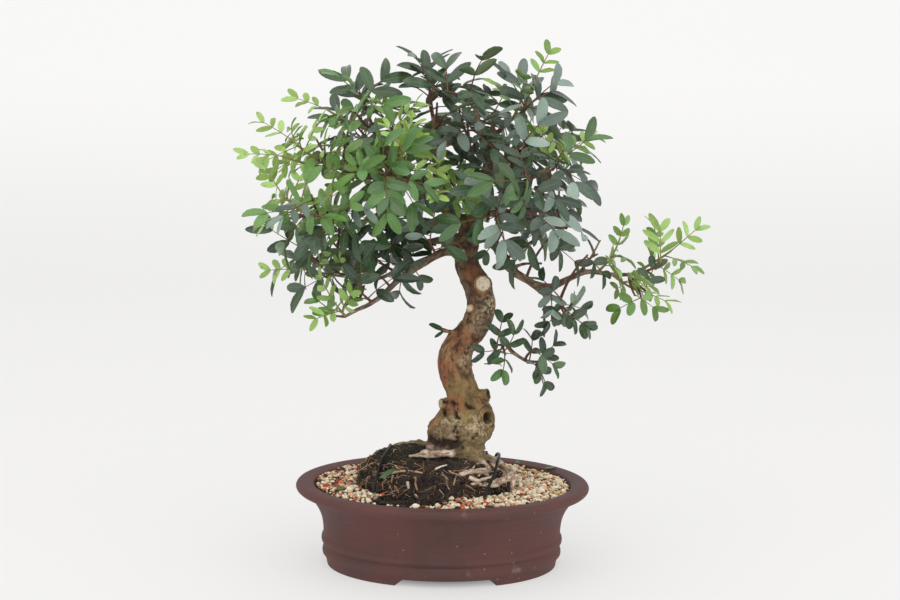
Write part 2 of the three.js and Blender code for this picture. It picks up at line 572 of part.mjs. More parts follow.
// Assembly
const COLOURS = {
  clay: 0x694441, grit: 0xc9b89a, soil: 0x2c241c, bark: 0x6f5a45, wire: 0x17181a, screen: 0x1c1d1c,
  mature: 0x38563f, young: 0x8fb84c,
};

const tree = wood();
const treeWithGap = wood(GAP);
const wires = Object.entries(WIRE_PATHS);
const wireGaps = joined(wires.map(([, path]) => wire(path, GAP)));
const screens = [['drain_screen_left', -1], ['drain_screen_right', 1]];
const screenGaps = joined(screens.map(([, side]) => screenBlank(side, GAP)));

const bonsai = new THREE.Group();
bonsai.add(meshOf('pot', pot(), COLOURS.clay, 0.75));
bonsai.add(meshOf('trunk', tree, COLOURS.bark, 0.85));
const ball = rootBall().subtract(treeWithGap).subtract(wireGaps);
bonsai.add(meshOf('root_ball', ball, COLOURS.soil, 0.95));
const grit = gritBed().subtract(rootBall(GAP)).subtract(treeWithGap).subtract(wireGaps)
  .subtract(screenGaps);
bonsai.add(meshOf('grit_bed', grit, COLOURS.grit, 0.9));
screens.forEach(([name, side]) => {
  bonsai.add(meshOf(name, screen(side).subtract(wireGaps), COLOURS.screen, 0.6));
});
wires.forEach(([name, path]) => {
  bonsai.add(meshOf(name, wire(path).subtract(treeWithGap), COLOURS.wire, 0.5));
});

const { twigs, leaves } = growLeaves();
twigs.forEach((twig, index) => {
  const own = leaves.filter(leaf => leaf.shoot === index).map(leafSolid);
  const stem = bentCylinder(twig, along => TWIG_RADIUS * (1.3 - 0.35 * along), TWIG_SIDES, 1);
  const shoot = mainPiece(joined([stem, ...own]).subtract(treeWithGap));
  const young = SHOOTS[index][3] === YOUNG;
  const name = `${young ? 'young' : 'leafy'}_shoot_${String(index + 1).padStart(2, '0')}`;
  bonsai.add(meshOf(name, shoot, young ? COLOURS.young : COLOURS.mature, 0.55));
});

const bounds = new THREE.Box3().setFromObject(bonsai);
const centre = bounds.getCenter(new THREE.Vector3());
bonsai.position.set(-centre.x, -centre.y, 0);

export default bonsai;
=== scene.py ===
import math
import random
from collections import defaultdict

import bmesh
import bpy
from mathutils import Matrix, Vector, kdtree, noise


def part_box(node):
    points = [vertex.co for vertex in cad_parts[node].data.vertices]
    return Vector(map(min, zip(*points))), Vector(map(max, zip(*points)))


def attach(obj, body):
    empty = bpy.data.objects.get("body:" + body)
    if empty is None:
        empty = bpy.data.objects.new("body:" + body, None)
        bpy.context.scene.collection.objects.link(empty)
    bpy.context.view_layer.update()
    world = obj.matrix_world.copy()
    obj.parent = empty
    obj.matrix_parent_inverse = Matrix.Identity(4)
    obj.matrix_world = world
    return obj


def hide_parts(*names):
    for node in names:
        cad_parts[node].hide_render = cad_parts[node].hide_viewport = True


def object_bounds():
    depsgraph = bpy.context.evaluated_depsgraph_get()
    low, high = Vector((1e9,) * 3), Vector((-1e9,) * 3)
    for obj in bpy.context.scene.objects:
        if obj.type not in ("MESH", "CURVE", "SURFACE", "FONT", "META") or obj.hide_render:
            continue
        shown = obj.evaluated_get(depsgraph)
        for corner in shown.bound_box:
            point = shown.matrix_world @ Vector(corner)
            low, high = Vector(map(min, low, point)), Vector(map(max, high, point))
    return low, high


bl_info = {
    "name": "Pistachio bonsai",
    "version": (1, 0, 0),
    "blender": (4, 5, 0),
    "location": "View3D > Sidebar > Bonsai",
    "description": "Makes the fine surfaces of a pistachio bonsai and its clay pot",
    "category": "Add Mesh",
}

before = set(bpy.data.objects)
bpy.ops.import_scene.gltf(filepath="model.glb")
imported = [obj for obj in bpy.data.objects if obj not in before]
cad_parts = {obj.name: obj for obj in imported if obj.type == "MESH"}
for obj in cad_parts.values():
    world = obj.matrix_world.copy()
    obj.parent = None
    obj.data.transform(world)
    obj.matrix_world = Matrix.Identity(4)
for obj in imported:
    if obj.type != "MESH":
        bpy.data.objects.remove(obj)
CAD_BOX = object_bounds()

# Shapes are worked out in millimetres from the floor under the middle of the pot, then put in place
POT_LOW, POT_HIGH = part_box("pot")
POT_MIDDLE = Vector(((POT_LOW.x + POT_HIGH.x) / 2, (POT_LOW.y + POT_HIGH.y) / 2, 0))
PLACE = Matrix.Translation(POT_MIDDLE) @ Matrix.Scale(0.001, 4)
MM = 0.001

# Driving dimensions of the pot
OVAL_NARROWING = 18
OVAL_CORE = 60
RIM_HEIGHT = 73.4
FOOT_HALF_LENGTH = 101.5
FOOT_INNER = 87
FOOT_HEIGHT = 6
FLOOR_TOP = 12
NOTCH_HALF_TOP = 37
NOTCH_HALF_BOTTOM = 43.5
DRAIN_OFFSET = 45
DRAIN_RADIUS = 7.5
POT_WALL = [
    (103, FOOT_HEIGHT + 1), (105.6, 10), (105.6, 14), (104.1, 17.4), (106.5, 21), (106.5, 25), (105, 29),
    (106.5, 42), (111, 52.5), (117.5, 60.5), (127, 65.6), (129.5, 69.2), (128.4, 72.2), (125.4, RIM_HEIGHT),
]
POT_INSIDE = [(115.6, RIM_HEIGHT - 0.9), (113.4, RIM_HEIGHT - 2.8), (111, 64), (100, 38), (94, FLOOR_TOP)]

# Driving dimensions of what fills the pot
GRIT_LEVEL = 69.4
GRIT_REACH = 113
BALL = {"middle": Vector((-6, 0, 60)), "half": Vector((70, 59, 44)), "power": 2.3, "tilt": 0.05}
SPILL = {"middle": (-30, -66), "half": (40, 24)}
WIRE_RADIUS = 1.3

# Leaves: the rachis carries pairs of leaflets and ends in a pair
MATURE = {"rachis": 30, "petiole": 0.42, "leaflet": 22, "width": 9.6, "pairs": 2, "droop": 0.22,
          "fullness": 0.6, "rows": 6, "columns": 4}
SMALL = {**MATURE, "rachis": 20, "leaflet": 14, "width": 7.4, "droop": 0.2, "fullness": 0.5}
YOUNG = {**MATURE, "rachis": 29, "petiole": 0.4, "leaflet": 13, "width": 5.6, "pairs": 3, "droop": 0.14,
         "rows": 5, "columns": 2}
RACHIS_WIDTH = 1.4
BLADE_THICK = 0.36
PAIR_ANGLE = 0.95
END_ANGLE = 0.52
LEAFLET_CUP = 0.16
TWIG_RADIUS = 1.1
TWIG_SAG = 0.07
TWIG_LEAST = 8
TIP_SHARE = 0.6
FIRST_LEAF = 0.45
LEAF_ROLL = 0.7
LEAF_CLEARANCE = 0.6
SEED = 4221
GOLDEN_ANGLE = math.pi * (3 - math.sqrt(5))
SIDE_SPREAD = 1.02
TIP_SPREAD = 0.3
TRIES = 14
TRY_TURN = 0.75
TRY_SPREAD = 0.05
UPWARD = 0.6
FRONTWARD = 0.5
OUTWARD = 0.6
CROWN_CENTRE = Vector((0, 0, 325))

# Trunk: middle point and radius, from inside the soil to the top of the last bend
TRUNK = [
    (10, 0, 84, 24), (11, 0, 98, 26), (11, 0, 108, 26), (14, -1, 118, 25.5), (20, -3, 128, 23.8),
    (21, -4, 135, 21.5), (19, -4, 143, 17.5), (15.5, -3, 154, 14), (10, 0, 169, 14.5),
    (8.8, 3, 181, 14.7), (12, 5, 192, 13.9),
    (18, 4, 201, 12.4), (25, 1, 210, 12.2), (30, -2, 222, 12.2), (31, -3, 233, 12.3), (29, -2, 243, 12),
    (24, 0, 254, 11.5), (19, 2, 263, 10.5), (17, 3, 274, 10), (18, 2, 285, 10.3), (20, 0, 297, 9.2),
    (23, 0, 311, 7),
]

# Limbs: the middle line, the radius where it starts and where it ends
LIMBS = {
    "left_low": {"from": 4.4, "to": 1.6, "at": [(16, 0, 277), (-1, -6, 278), (-12, -12, 274),
        (-29, -20, 264), (-42, -27, 256), (-55, -33, 244), (-67, -38, 236), (-78, -40, 231),
        (-87, -42, 226)]},
    "left_low_up": {"from": 3, "to": 1.6, "at": [(-10, -11, 275), (-25, -18, 270), (-41, -10, 263),
        (-54, 0, 255), (-73, 8, 248)]},
    "left_mid": {"from": 4.2, "to": 1.6, "at": [(18, 0, 289), (3, 8, 288), (-18, 16, 283), (-44, 22, 277),
        (-71, 22, 266), (-93, 20, 261), (-111, 18, 265)]},
    "left": {"from": 6.4, "to": 2.2, "at": [(20, 0, 297), (4, -4, 311), (-15, -8, 325), (-35, -8, 336),
        (-54, -6, 341), (-75, -6, 344), (-93, -10, 350), (-112, -16, 357)]},
    "left_down": {"from": 3.8, "to": 1.6, "at": [(-54, -6, 341), (-72, -22, 332), (-90, -34, 315),
        (-108, -40, 311), (-121, -42, 313)]},
    "left_up": {"from": 3.6, "to": 1.5, "at": [(-35, -8, 336), (-46, 4, 356), (-61, 10, 376),
        (-71, 12, 399)]},
    "left_front": {"from": 3, "to": 1.4, "at": [(-26, -8, 331), (-41, -36, 342), (-53, -60, 352)]},
    "left_back": {"from": 3.8, "to": 1.5, "at": [(-18, -7, 327), (-36, 30, 344), (-54, 55, 360),
        (-67, 75, 367)]},
    "top_left": {"from": 4, "to": 1.5, "at": [(-15, -8, 325), (-10, 0, 347), (-10, 4, 370), (-13, 6, 392),
        (-17, 8, 408)]},
    "leader": {"from": 7, "to": 1.8, "at": [(22, 0, 306), (26, 0, 323), (31, 4, 340), (35, 6, 357),
        (37, 4, 375), (40, 2, 399)]},
    "top_mid": {"from": 3.2, "to": 1.4, "at": [(35, 6, 356), (27, -6, 379), (23, -10, 399),
        (15, -10, 414)]},
    "top_right": {"from": 2.8, "to": 1.5, "at": [(37, 4, 374), (45, 0, 384), (54, -4, 393), (63, -6, 400)]},
    "upper_right": {"from": 4.4, "to": 1.7, "at": [(26, 0, 325), (38, -12, 343), (52, -22, 351),
        (71, -30, 349), (87, -34, 352)]},
    "right_back": {"from": 3.8, "to": 1.5, "at": [(30, 3, 337), (48, 34, 351), (67, 58, 362),
        (87, 78, 366)]},
    "right_mid": {"from": 4.2, "to": 1.6, "at": [(22, 0, 308), (47, 14, 312), (70, 26, 306), (92, 34, 298),
        (108, 38, 295)]},
    "right_front": {"from": 3.2, "to": 1.4, "at": [(23, 0, 311), (35, -28, 321), (47, -52, 327),
        (57, -72, 324)]},
    "right_low": {"from": 6.2, "to": 2.4, "at": [(18, 0, 288), (31, -6, 293), (45, -14, 281),
        (55, -20, 265), (71, -24, 255), (86, -28, 244), (97, -30, 240)]},
    "right_long": {"from": 3.8, "to": 1.8, "at": [(76, -25, 252), (90, -20, 250), (102, -16, 255),
        (115, -14, 261), (126, -14, 263), (141, -16, 261), (158, -18, 261)]},
    "dead_fork": {"from": 1.7, "to": 1, "at": [(114, -14, 261), (124, -13, 274), (133, -12, 291)]},
    "dead_spur": {"from": 1.3, "to": 0.9, "at": [(125, -13, 275), (131, -16, 279)]},
    "inner_spur": {"from": 2, "to": 1.2, "at": [(54, -19, 266), (66, -22, 270), (82, -24, 271)]},
    "low_right": {"from": 3.8, "to": 1.6, "at": [(32, 0, 215), (40, -14, 213), (47, -20, 208),
        (56, -26, 195), (68, -30, 187)]},
    "back_up": {"from": 3.6, "to": 1.5, "at": [(28, 2, 326), (25, 34, 341), (23, 58, 362), (21, 72, 382)]},
    "back_low": {"from": 4, "to": 1.5, "at": [(20, 2, 296), (22, 32, 309), (20, 62, 317), (16, 86, 321)]},
}

# Roots that show on the soil, each starting inside the foot of the trunk
ROOTS = [
    {"from": 5, "to": 2.6, "at": [(11, -12, 106), (6, -26, 105), (-14, -31, 104), (-32, -30, 102)]},
    {"from": 4.6, "to": 2.6, "at": [(24, -6, 100), (48, -12, 93), (59, -20, 85), (49, -37, 82),
        (38, -45, 81), (21, -50, 82)]},
    {"from": 3.6, "to": 2.4, "at": [(20, -8, 100), (38, -30, 92), (24, -42, 91), (11, -46, 90)]},
    {"from": 3.4, "to": 2.2, "at": [(50, -13, 92), (60, -24, 82), (59, -33, 70), (58, -36, 60)]},
    {"from": 5, "to": 2.4, "at": [(0, 8, 102), (-28, 20, 102), (-54, 25, 91), (-70, 25, 71),
        (-72, 24, 60)]},
    {"from": 5, "to": 2.4, "at": [(18, 8, 100), (30, 36, 96), (37, 52, 82), (41, 58, 66), (41, 57, 58)]},
]

# Black wires that hold the root ball down
WIRE_PATHS = {
    "anchor_wire_right": [(60, -4, 3), (52, -4, 3), (49, -4, 5), (48.6, -4, 14), (42, -50, 42),
        (33, -67, 63), (33, -62, 75), (41, -51, 90), (46, -32, 99), (49, -8, 99), (49, 20, 93),
        (49, 44, 80), (51, 58, 62), (50, 44, 38), (48.6, 4, 14), (49, 4, 5), (52, 4, 3), (60, 4, 3)],
    "anchor_wire_left": [(-60, -4, 3), (-52, -4, 3), (-49, -4, 5), (-48.6, -4, 14), (-60, -46, 40),
        (-63, -51, 63), (-61, -44, 78), (-58, -36, 89), (-53, -20, 99), (-48, 0, 103), (-46, 24, 100),
        (-46, 46, 87), (-47, 59, 64), (-46, 46, 40), (-48.6, 4, 14), (-49, 4, 5), (-52, 4, 3), (-60, 4, 3)],
}

# Stubs of cut branches, and the old hollow in the bulge of the trunk
STUBS = [
    {"foot": (29, -4, 250), "tip": (31.5, -14.2, 251.5), "radius": 7},
    {"foot": (17, 0, 276), "tip": (13, -10.6, 278), "radius": 3},
    {"foot": (26, -4, 229), "tip": (20, -14.6, 230), "radius": 3.2},
    {"foot": (26, -4, 150), "tip": (38, -9, 153), "radius": 5},
    {"foot": (12, -4, 143), "tip": (-3.5, -9, 144.5), "radius": 4.4},
    {"foot": (12, 2, 284), "tip": (-0.5, -4, 289), "radius": 5},
    {"foot": (10, 0, 206), "tip": (-3, -5, 209), "radius": 1.8},
]
HOLLOW = {"mouth": (38.5, -19.5, 134), "radius": 4.2}

# Leafy shoots: the limb and how far along it each starts, the middle of the leaves at its end,
# the kind of leaf and how many the plain model has
SHOOTS = [
    ("left_up", 1, (-78, -2, 421), MATURE, 4), ("left_up", 0.72, (-118, -6, 405), YOUNG, 2),
    ("left_up", 0.5, (-43, -22, 394), YOUNG, 2), ("left", 1, (-148, -22, 384), YOUNG, 4),
    ("left", 0.84, (-156, -44, 364), YOUNG, 2), ("left_down", 1, (-154, -42, 338), YOUNG, 3),
    ("left_down", 0.85, (-146, -58, 316), MATURE, 3), ("left", 0.8, (-92, -38, 386), MATURE, 2),
    ("left", 0.68, (-83, -60, 345), MATURE, 2), ("left_front", 1, (-60, -94, 342), MATURE, 3),
    ("left_front", 0.55, (-36, -78, 374), YOUNG, 2), ("left_down", 0.6, (-101, -64, 296), MATURE, 3),
    ("left_mid", 1, (-140, 22, 288), MATURE, 3), ("left_mid", 0.72, (-112, 66, 290), MATURE, 2),
    ("left_mid", 0.55, (-68, -8, 303), MATURE, 2), ("left_low_up", 1, (-114, 16, 266), MATURE, 2),
    ("left_low_up", 0.8, (-142, 0, 263), YOUNG, 2), ("left_low", 1, (-104, -46, 246), YOUNG, 3),
    ("left_low", 0.72, (-84, -58, 257), MATURE, 2), ("left_low", 0.4, (-46, 34, 276), MATURE, 2),
    ("left_low", 0.22, (-20, -52, 299), MATURE, 2), ("top_left", 1, (-16, 4, 427), MATURE, 5),
    ("top_left", 0.65, (0, -26, 404), MATURE, 2), ("top_mid", 1, (20, -14, 424), MATURE, 3),
    ("leader", 1, (38, 8, 398), MATURE, 2), ("top_right", 1, (76, -10, 414), MATURE, 3),
    ("top_right", 0.7, (66, -26, 424), YOUNG, 2), ("top_mid", 0.45, (8, -46, 383), MATURE, 2),
    ("upper_right", 1, (100, -42, 370), MATURE, 3), ("upper_right", 0.86, (110, -20, 378), YOUNG, 3),
    ("upper_right", 0.75, (94, -68, 341), MATURE, 3), ("upper_right", 0.5, (58, -54, 380), MATURE, 2),
    ("upper_right", 0.28, (34, -64, 357), MATURE, 2), ("right_back", 1, (121, 88, 362), MATURE, 3),
    ("right_back", 0.6, (84, 60, 374), MATURE, 2), ("right_mid", 1, (122, 28, 318), MATURE, 2),
    ("right_mid", 0.62, (104, 0, 299), MATURE, 2), ("right_mid", 0.7, (104, 84, 300), MATURE, 3),
    ("right_front", 1, (80, -92, 312), MATURE, 3), ("right_front", 0.5, (34, -86, 306), MATURE, 3),
    ("right_long", 1, (208, -16, 290), YOUNG, 5), ("right_long", 0.86, (176, -28, 240), YOUNG, 3),
    ("right_long", 0.72, (154, -22, 290), YOUNG, 2), ("right_low", 1, (106, -36, 222), SMALL, 2),
    ("low_right", 1, (90, -34, 186), SMALL, 4), ("low_right", 0.5, (52, -38, 184), SMALL, 3),
    ("left", 0.16, (-12, -66, 343), YOUNG, 3), ("back_up", 1, (22, 100, 410), MATURE, 3),
    ("back_low", 1, (10, 116, 330), MATURE, 3), ("back_low", 0.7, (56, 98, 296), MATURE, 2),
    ("left_back", 1, (-90, 96, 381), MATURE, 3), ("left_back", 0.55, (-46, 84, 398), MATURE, 2),
]

# Kinds of leaf that stand between those of the plain model
LONG = {**MATURE, "rachis": 33, "petiole": 0.34, "leaflet": 17.5, "width": 7.6, "pairs": 3, "droop": 0.2,
        "fullness": 0.58}
BROAD = {**MATURE, "rachis": 21, "petiole": 0.4, "leaflet": 26, "width": 10, "droop": 0.3, "fullness": 0.62,
         "rows": 8}
LARGE_YOUNG = {**YOUNG, "petiole": 0.36, "leaflet": 17, "width": 6.4, "droop": 0.1, "rows": 6}

# How much of its room such a leaf must find free, how far along its twig it grows at the least, and how
# far down it may point; then how many of them a shoot of each kind gets, and each inner twig
MORE_ROOM = 0.72
FIRST_MORE = 0.3
LOWEST_LEAN = -0.5
MORE_LEAVES = {"mature": 5, "small": 2, "young": 3}
INNER_LEAVES = 5

# The limbs' inner twigs: how far along the limb they begin, and how many there are
FOLIAGE = {
    "left_low": (0.7, 3), "left_low_up": (0.35, 4), "left_mid": (0.35, 7), "left": (0.3, 10),
    "left_down": (0.35, 5), "left_up": (0.3, 6), "left_front": (0.3, 5), "left_back": (0.3, 6),
    "top_left": (0.35, 6), "leader": (0.15, 9), "top_mid": (0.3, 5), "top_right": (0.3, 5),
    "upper_right": (0.2, 8), "right_back": (0.3, 7), "right_mid": (0.25, 8), "right_front": (0.25, 7),
    "right_low": (0.75, 2), "low_right": (0.75, 1), "back_up": (0.3, 6), "back_low": (0.35, 6),
    "right_long": (1, 0),
}

# The photograph's view: how far the camera turns to the left and looks down, its roll and distance
VIEW_TURN = math.radians(-3.1)
VIEW_DOWN = math.radians(7.9)
VIEW_ROLL = math.radians(0.96)
VIEW_DISTANCE = 1660
VIEW_TARGET = Vector((3.75, 0, 235))

# Outlines of the crown's three parts as that view shows them: right of and above its middle
CROWN_OUTLINES = [
    [(-186, 112), (-172, 122), (-176, 136), (-162, 146), (-176, 158), (-142, 170), (-130, 184), (-112, 180),
     (-116, 188), (-106, 206), (-84, 208), (-66, 212), (-46, 213), (-54, 200), (-51, 173), (-22, 175),
     (-34, 191), (-34, 208), (-22, 212), (-20, 228), (14, 224), (30, 217), (26, 205), (46, 198), (54, 206),
     (78, 215), (98, 200), (102, 182), (84, 173), (70, 170), (76, 160), (96, 165), (112, 156), (134, 151),
     (128, 138), (137, 126), (122, 116), (134, 96), (124, 76), (114, 62), (122, 50), (110, 40), (84, 34),
     (83, 27), (71, 54), (54, 50), (45, 32), (23, 36), (16, 56), (-8, 48), (-14, 36), (-20, 22), (-26, 30),
     (-48, 26), (-60, 14), (-84, -8), (-94, -20), (-118, -16), (-122, -2), (-134, 8), (-144, 16),
     (-170, 22), (-168, 34), (-158, 44), (-166, 52), (-160, 60), (-180, 66), (-178, 74), (-162, 88),
     (-176, 96)],
    [(120, 32), (130, 50), (140, 74), (154, 70), (168, 52), (176, 64), (168, 76), (190, 86), (200, 68),
     (230, 58), (224, 46), (214, 36), (212, 6), (210, -8), (186, -14), (152, -18), (140, -6), (127, -24),
     (90, -26), (92, 16)],
    [(34, -16), (56, -12), (84, -26), (104, -44), (102, -76), (74, -80), (46, -78), (24, -64), (24, -48),
     (40, -40)],
]

# Leaves that stand out: the limb, where the view shows the leaf's foot and the end of its rachis,
# how far in front of the tree's middle it hangs, its kind and age
STANDING_LEAVES = [
    ("left_up", (-77, 176), (-86, 190), 34, BROAD, 0.3),
    ("left_up", (-74, 176), (-64, 190), 30, BROAD, 0.3),
    ("top_mid", (-2, 182), (-3, 203), 40, BROAD, 0.28),
    ("top_left", (-12, 180), (-20, 197), 34, BROAD, 0.24),
    ("top_right", (67, 168), (62, 187), 44, BROAD, 0.05),
    ("top_right", (70, 171), (85, 183), 38, BROAD, 0.1),
    ("top_right", (73, 189), (80, 204), 46, YOUNG, 0.8),
    ("left_low", (-40, 37), (-28, 24), 44, SMALL, 0.25),
    ("left_low_up", (-100, 24), (-124, 15), 30, MATURE, 0.25),
    ("left_low", (-99, -14), (-112, -2), 42, SMALL, 0.6),
    ("left_low", (-58, 18), (-77, 28), 40, LONG, 0.35),
    ("upper_right", (93, 84), (97, 59), 48, MATURE, 0.02),
    ("upper_right", (70, 96), (71, 72), 52, MATURE, 0.03),
    ("right_low", (85, 52), (104, 40), 40, MATURE, 0.2),
    ("right_low", (79, 56), (65, 44), 34, MATURE, 0.26),
    ("right_low", (45, 58), (34, 46), 26, SMALL, 0.3),
    ("right_low", (119, 38), (130, 29), 34, SMALL, 0.2),
    ("right_low", (88, 12), (89, -3), 46, SMALL, 0.03),
    ("right_low", (96, 2), (86, 14), 40, SMALL, 0.1),
    ("right_low", (100, -12), (114, -18), 42, SMALL, 0.2),
    ("low_right", (41, -39), (44, -24), 30, SMALL, 0.25),
    ("right_long", (184, 31), (184, 59), 28, LARGE_YOUNG, 0.84),
    ("right_long", (161, 5), (175, -3), 32, SMALL, 0.74),
    ("right_long", (167, 2), (150, -5), 36, SMALL, 0.7),
    ("right_long", (170, 9), (176, 24), 26, SMALL, 0.25),
    ("low_right", (73, -44), (88, -53), 48, SMALL, 0.3),
]

# Where fresh growth makes the leaves brighter: the middle, how far it reaches and how much
FRESH_PATCHES = [((-96, -20, 362), 92, 0.6), ((-46, -30, 389), 40, 0.8), ((-130, -40, 330), 50, 0.4),
                 ((-40, -50, 340), 70, 0.22)]

WORD = 0xFFFFFFFF

# How wide the cubes are in which taken space is looked up, and after how many stones a tray is emptied
CUBE = 24.0
TRAY = 60


def seeded(seed):
    """Numbers between 0 and 1 that repeat for the same seed."""
    state = seed & WORD

    def draw():
        nonlocal state
        state = (state + 0x6D2B79F5) & WORD
        mixed = ((state ^ (state >> 15)) * (state | 1)) & WORD
        mixed = ((mixed + (mixed ^ (mixed >> 7)) * (mixed | 61)) & WORD) ^ mixed
        return ((mixed ^ (mixed >> 14)) & WORD) / 4294967296

    return draw


def lumps(point, size):
    """A smooth wave over space, from -1 to 1, with lumps about as wide as the given size."""
    x, y, z = point.x / size, point.y / size, point.z / size
    return math.sin(2 * x + 1.7 * math.sin(y + z)) * math.cos(2.3 * y + 1.4 * math.sin(1.3 * z - x))


def clamped(value, low=0.0, high=1.0):
    return max(low, min(high, value))


def eased(value):
    """A step from 0 to 1 with soft ends."""
    share = clamped(value)
    return share * share * (3 - 2 * share)


class Line:
    """A smooth line through the given points."""

    def __init__(self, points):
        self.points = [Vector(point[:3]) for point in points]

    def at(self, share):
        points = self.points
        last = len(points) - 1
        position = clamped(share) * last
        index = min(int(position), last - 1)
        weight = position - index
        here, there = points[index], points[index + 1]
        before = points[index - 1] if index > 0 else 2 * here - there
        after = points[index + 2] if index + 2 <= last else 2 * there - here
        leaving, arriving = (there - before) / 2, (after - here) / 2
        bend = 3 * (there - here) - 2 * leaving - arriving
        twist = 2 * (here - there) + leaving + arriving
        return here + leaving * weight + bend * weight ** 2 + twist * weight ** 3


class Bow:
    """A line from a foot to an end, pulled towards a middle point."""

    def __init__(self, foot, middle, end):
        self.foot, self.middle, self.end = Vector(foot), Vector(middle), Vector(end)

    def at(self, share):
        back = 1 - share
        return self.foot * back * back + self.middle * 2 * back * share + self.end * share * share


def heading(line, share):
    ahead, behind = line.at(min(1, share + 1e-4)), line.at(max(0, share - 1e-4))
    return (ahead - behind).normalized()


def square_to(direction, ahead):
    """The part of a direction that is square to another, as long as one."""
    return (direction - ahead * direction.dot(ahead)).normalized()


def turned(first, second, angle):
    """Two square directions after a turn from the first towards the second."""
    return (first * math.cos(angle) + second * math.sin(angle),
            second * math.cos(angle) - first * math.sin(angle))


def sections_along(line, steps):
    """Sections square to a line, each turned as little as it can be from the one before."""
    across = Vector((1, 0, 0))
    if abs(heading(line, 0).x) > 0.8:
        across = Vector((0, 1, 0))
    sections = []
    for step in range(steps + 1):
        ahead = heading(line, step / steps)
        across = square_to(across, ahead)
        sections.append((line.at(step / steps), across, ahead.cross(across)))
    return sections


def add_tube(bm, line, steps, sides, radius_at, material=0, flatten=1.0):
    """A sheet rolled round a line; radius_at gives its radius from how far along and which way round."""
    made = bmesh.ops.create_grid(bm, x_segments=steps, y_segments=sides, size=0.5, calc_uvs=True)["verts"]
    sections = sections_along(line, steps)
    for vert in made:
        step = round((vert.co.x + 0.5) * steps)
        turn = 2 * math.pi * (0.5 - vert.co.y)
        centre, across, over = sections[step]
        reach = radius_at(step / steps, turn, centre)
        vert.co = centre + across * (math.cos(turn) * reach) + over * (math.sin(turn) * reach * flatten)
    for face in faces_of(made):
        face.material_index = material
    return made


def faces_of(verts):
    return {face for vert in verts for face in vert.link_faces}


def close_tubes(bm):
    """Joins the seam of every rolled sheet and covers its two ends."""
    bmesh.ops.remove_doubles(bm, verts=bm.verts, dist=1e-4)
    open_edges = [edge for edge in bm.edges if edge.is_boundary]
    if open_edges:
        bmesh.ops.holes_fill(bm, edges=open_edges, sides=0)


def add_pebble(bm, spot, size, turn, rough, draw, smooth):
    """A small uneven stone: few faces when it is angular, a few more when it is rounded."""
    if smooth:
        made = bmesh.ops.create_uvsphere(bm, u_segments=7, v_segments=5, radius=0.5)["verts"]
    else:
        made = bmesh.ops.create_icosphere(bm, subdivisions=1, radius=0.5)["verts"]
    shift = Vector((draw(), draw(), draw())) * 50
    for vert in made:
        swell = 1 + rough * noise.noise(vert.co * 2.4 + shift)
        flat = turn @ Vector((vert.co.x * size.x, vert.co.y * size.y, vert.co.z * size.z)) * swell
        vert.co = spot + flat
    for face in faces_of(made):
        face.smooth = smooth
    return made


def pour(tray, whole, *values):
    """Empties a small bmesh into a large one, where operators are slow, and gives a new small one."""
    mesh = bpy.data.meshes.new("tray")
    tray.to_mesh(mesh)
    tray.free()
    whole.from_mesh(mesh)
    bpy.data.meshes.remove(mesh)
    return new_bmesh(*values)


def any_turn(draw, tilt=2 * math.pi):
    return Matrix.Rotation(draw() * 2 * math.pi, 3, "Z") @ Matrix.Rotation(draw() * tilt, 3, "X")


def new_bmesh(*values):
    """An empty bmesh whose points carry the given named values."""
    bm = bmesh.new()
    bm.loops.layers.uv.new("UVMap")
    for name in values:
        bm.verts.layers.float.new(name)
    return bm


def give(bm, verts, **values):
    """Writes one number of each name to the given points."""
    for name, value in values.items():
        layer = bm.verts.layers.float[name]
        for vert in verts:
            vert[layer] = value


def object_from(name, bm):
    """An object of the scene, made from a bmesh."""
    mesh = bpy.data.meshes.new(name)
    bm.to_mesh(mesh)
    bm.free()
    made = bpy.data.objects.new(name, mesh)
    bpy.context.scene.collection.objects.link(made)
    return made


def make_piece(name, bm, materials, replaced=()):
    """A finished piece in its place, from a bmesh in millimetres round the middle of the pot."""
    bmesh.ops.transform(bm, matrix=PLACE, verts=bm.verts)
    piece = object_from(name, bm)
    for material in materials:
        piece.data.materials.append(material)
    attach(piece, "root")
    if replaced:
        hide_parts(*replaced)
    return piece


def view_axes():
    """Directions of the photograph's view: to the right, up and back to the camera."""
    back = Vector((math.sin(VIEW_TURN) * math.cos(VIEW_DOWN), -math.cos(VIEW_TURN) * math.cos(VIEW_DOWN),
                   math.sin(VIEW_DOWN)))
    level = (-back).cross(Vector((0, 0, 1))).normalized()
    return *turned(level, level.cross(-back), VIEW_ROLL), back


VIEW_RIGHT, VIEW_UP, VIEW_BACK = view_axes()


def seen(spot):
    """Where the photograph's view shows a point: right of and above its middle."""
    offset = spot - VIEW_TARGET
    nearness = VIEW_DISTANCE / (VIEW_DISTANCE - offset.dot(VIEW_BACK))
    return offset.dot(VIEW_RIGHT) * nearness, offset.dot(VIEW_UP) * nearness


def spot_in_view(right, up, near):
    """The point that the view shows at a place, when it lies that far in front of the middle."""
    aside = VIEW_RIGHT * right + VIEW_UP * up
    return VIEW_TARGET + aside * (1 - near / VIEW_DISTANCE) + VIEW_BACK * near


def within(place, outline):
    """Whether a place of the view lies inside a closed outline."""
    x, z = place
    inside = False
    for (x1, z1), (x2, z2) in zip(outline, outline[1:] + outline[:1]):
        if (z1 > z) != (z2 > z) and x < x1 + (z - z1) * (x2 - x1) / (z2 - z1):
            inside = not inside
    return inside


def shade_smooth(bm):
    for face in bm.faces:
        face.smooth = True


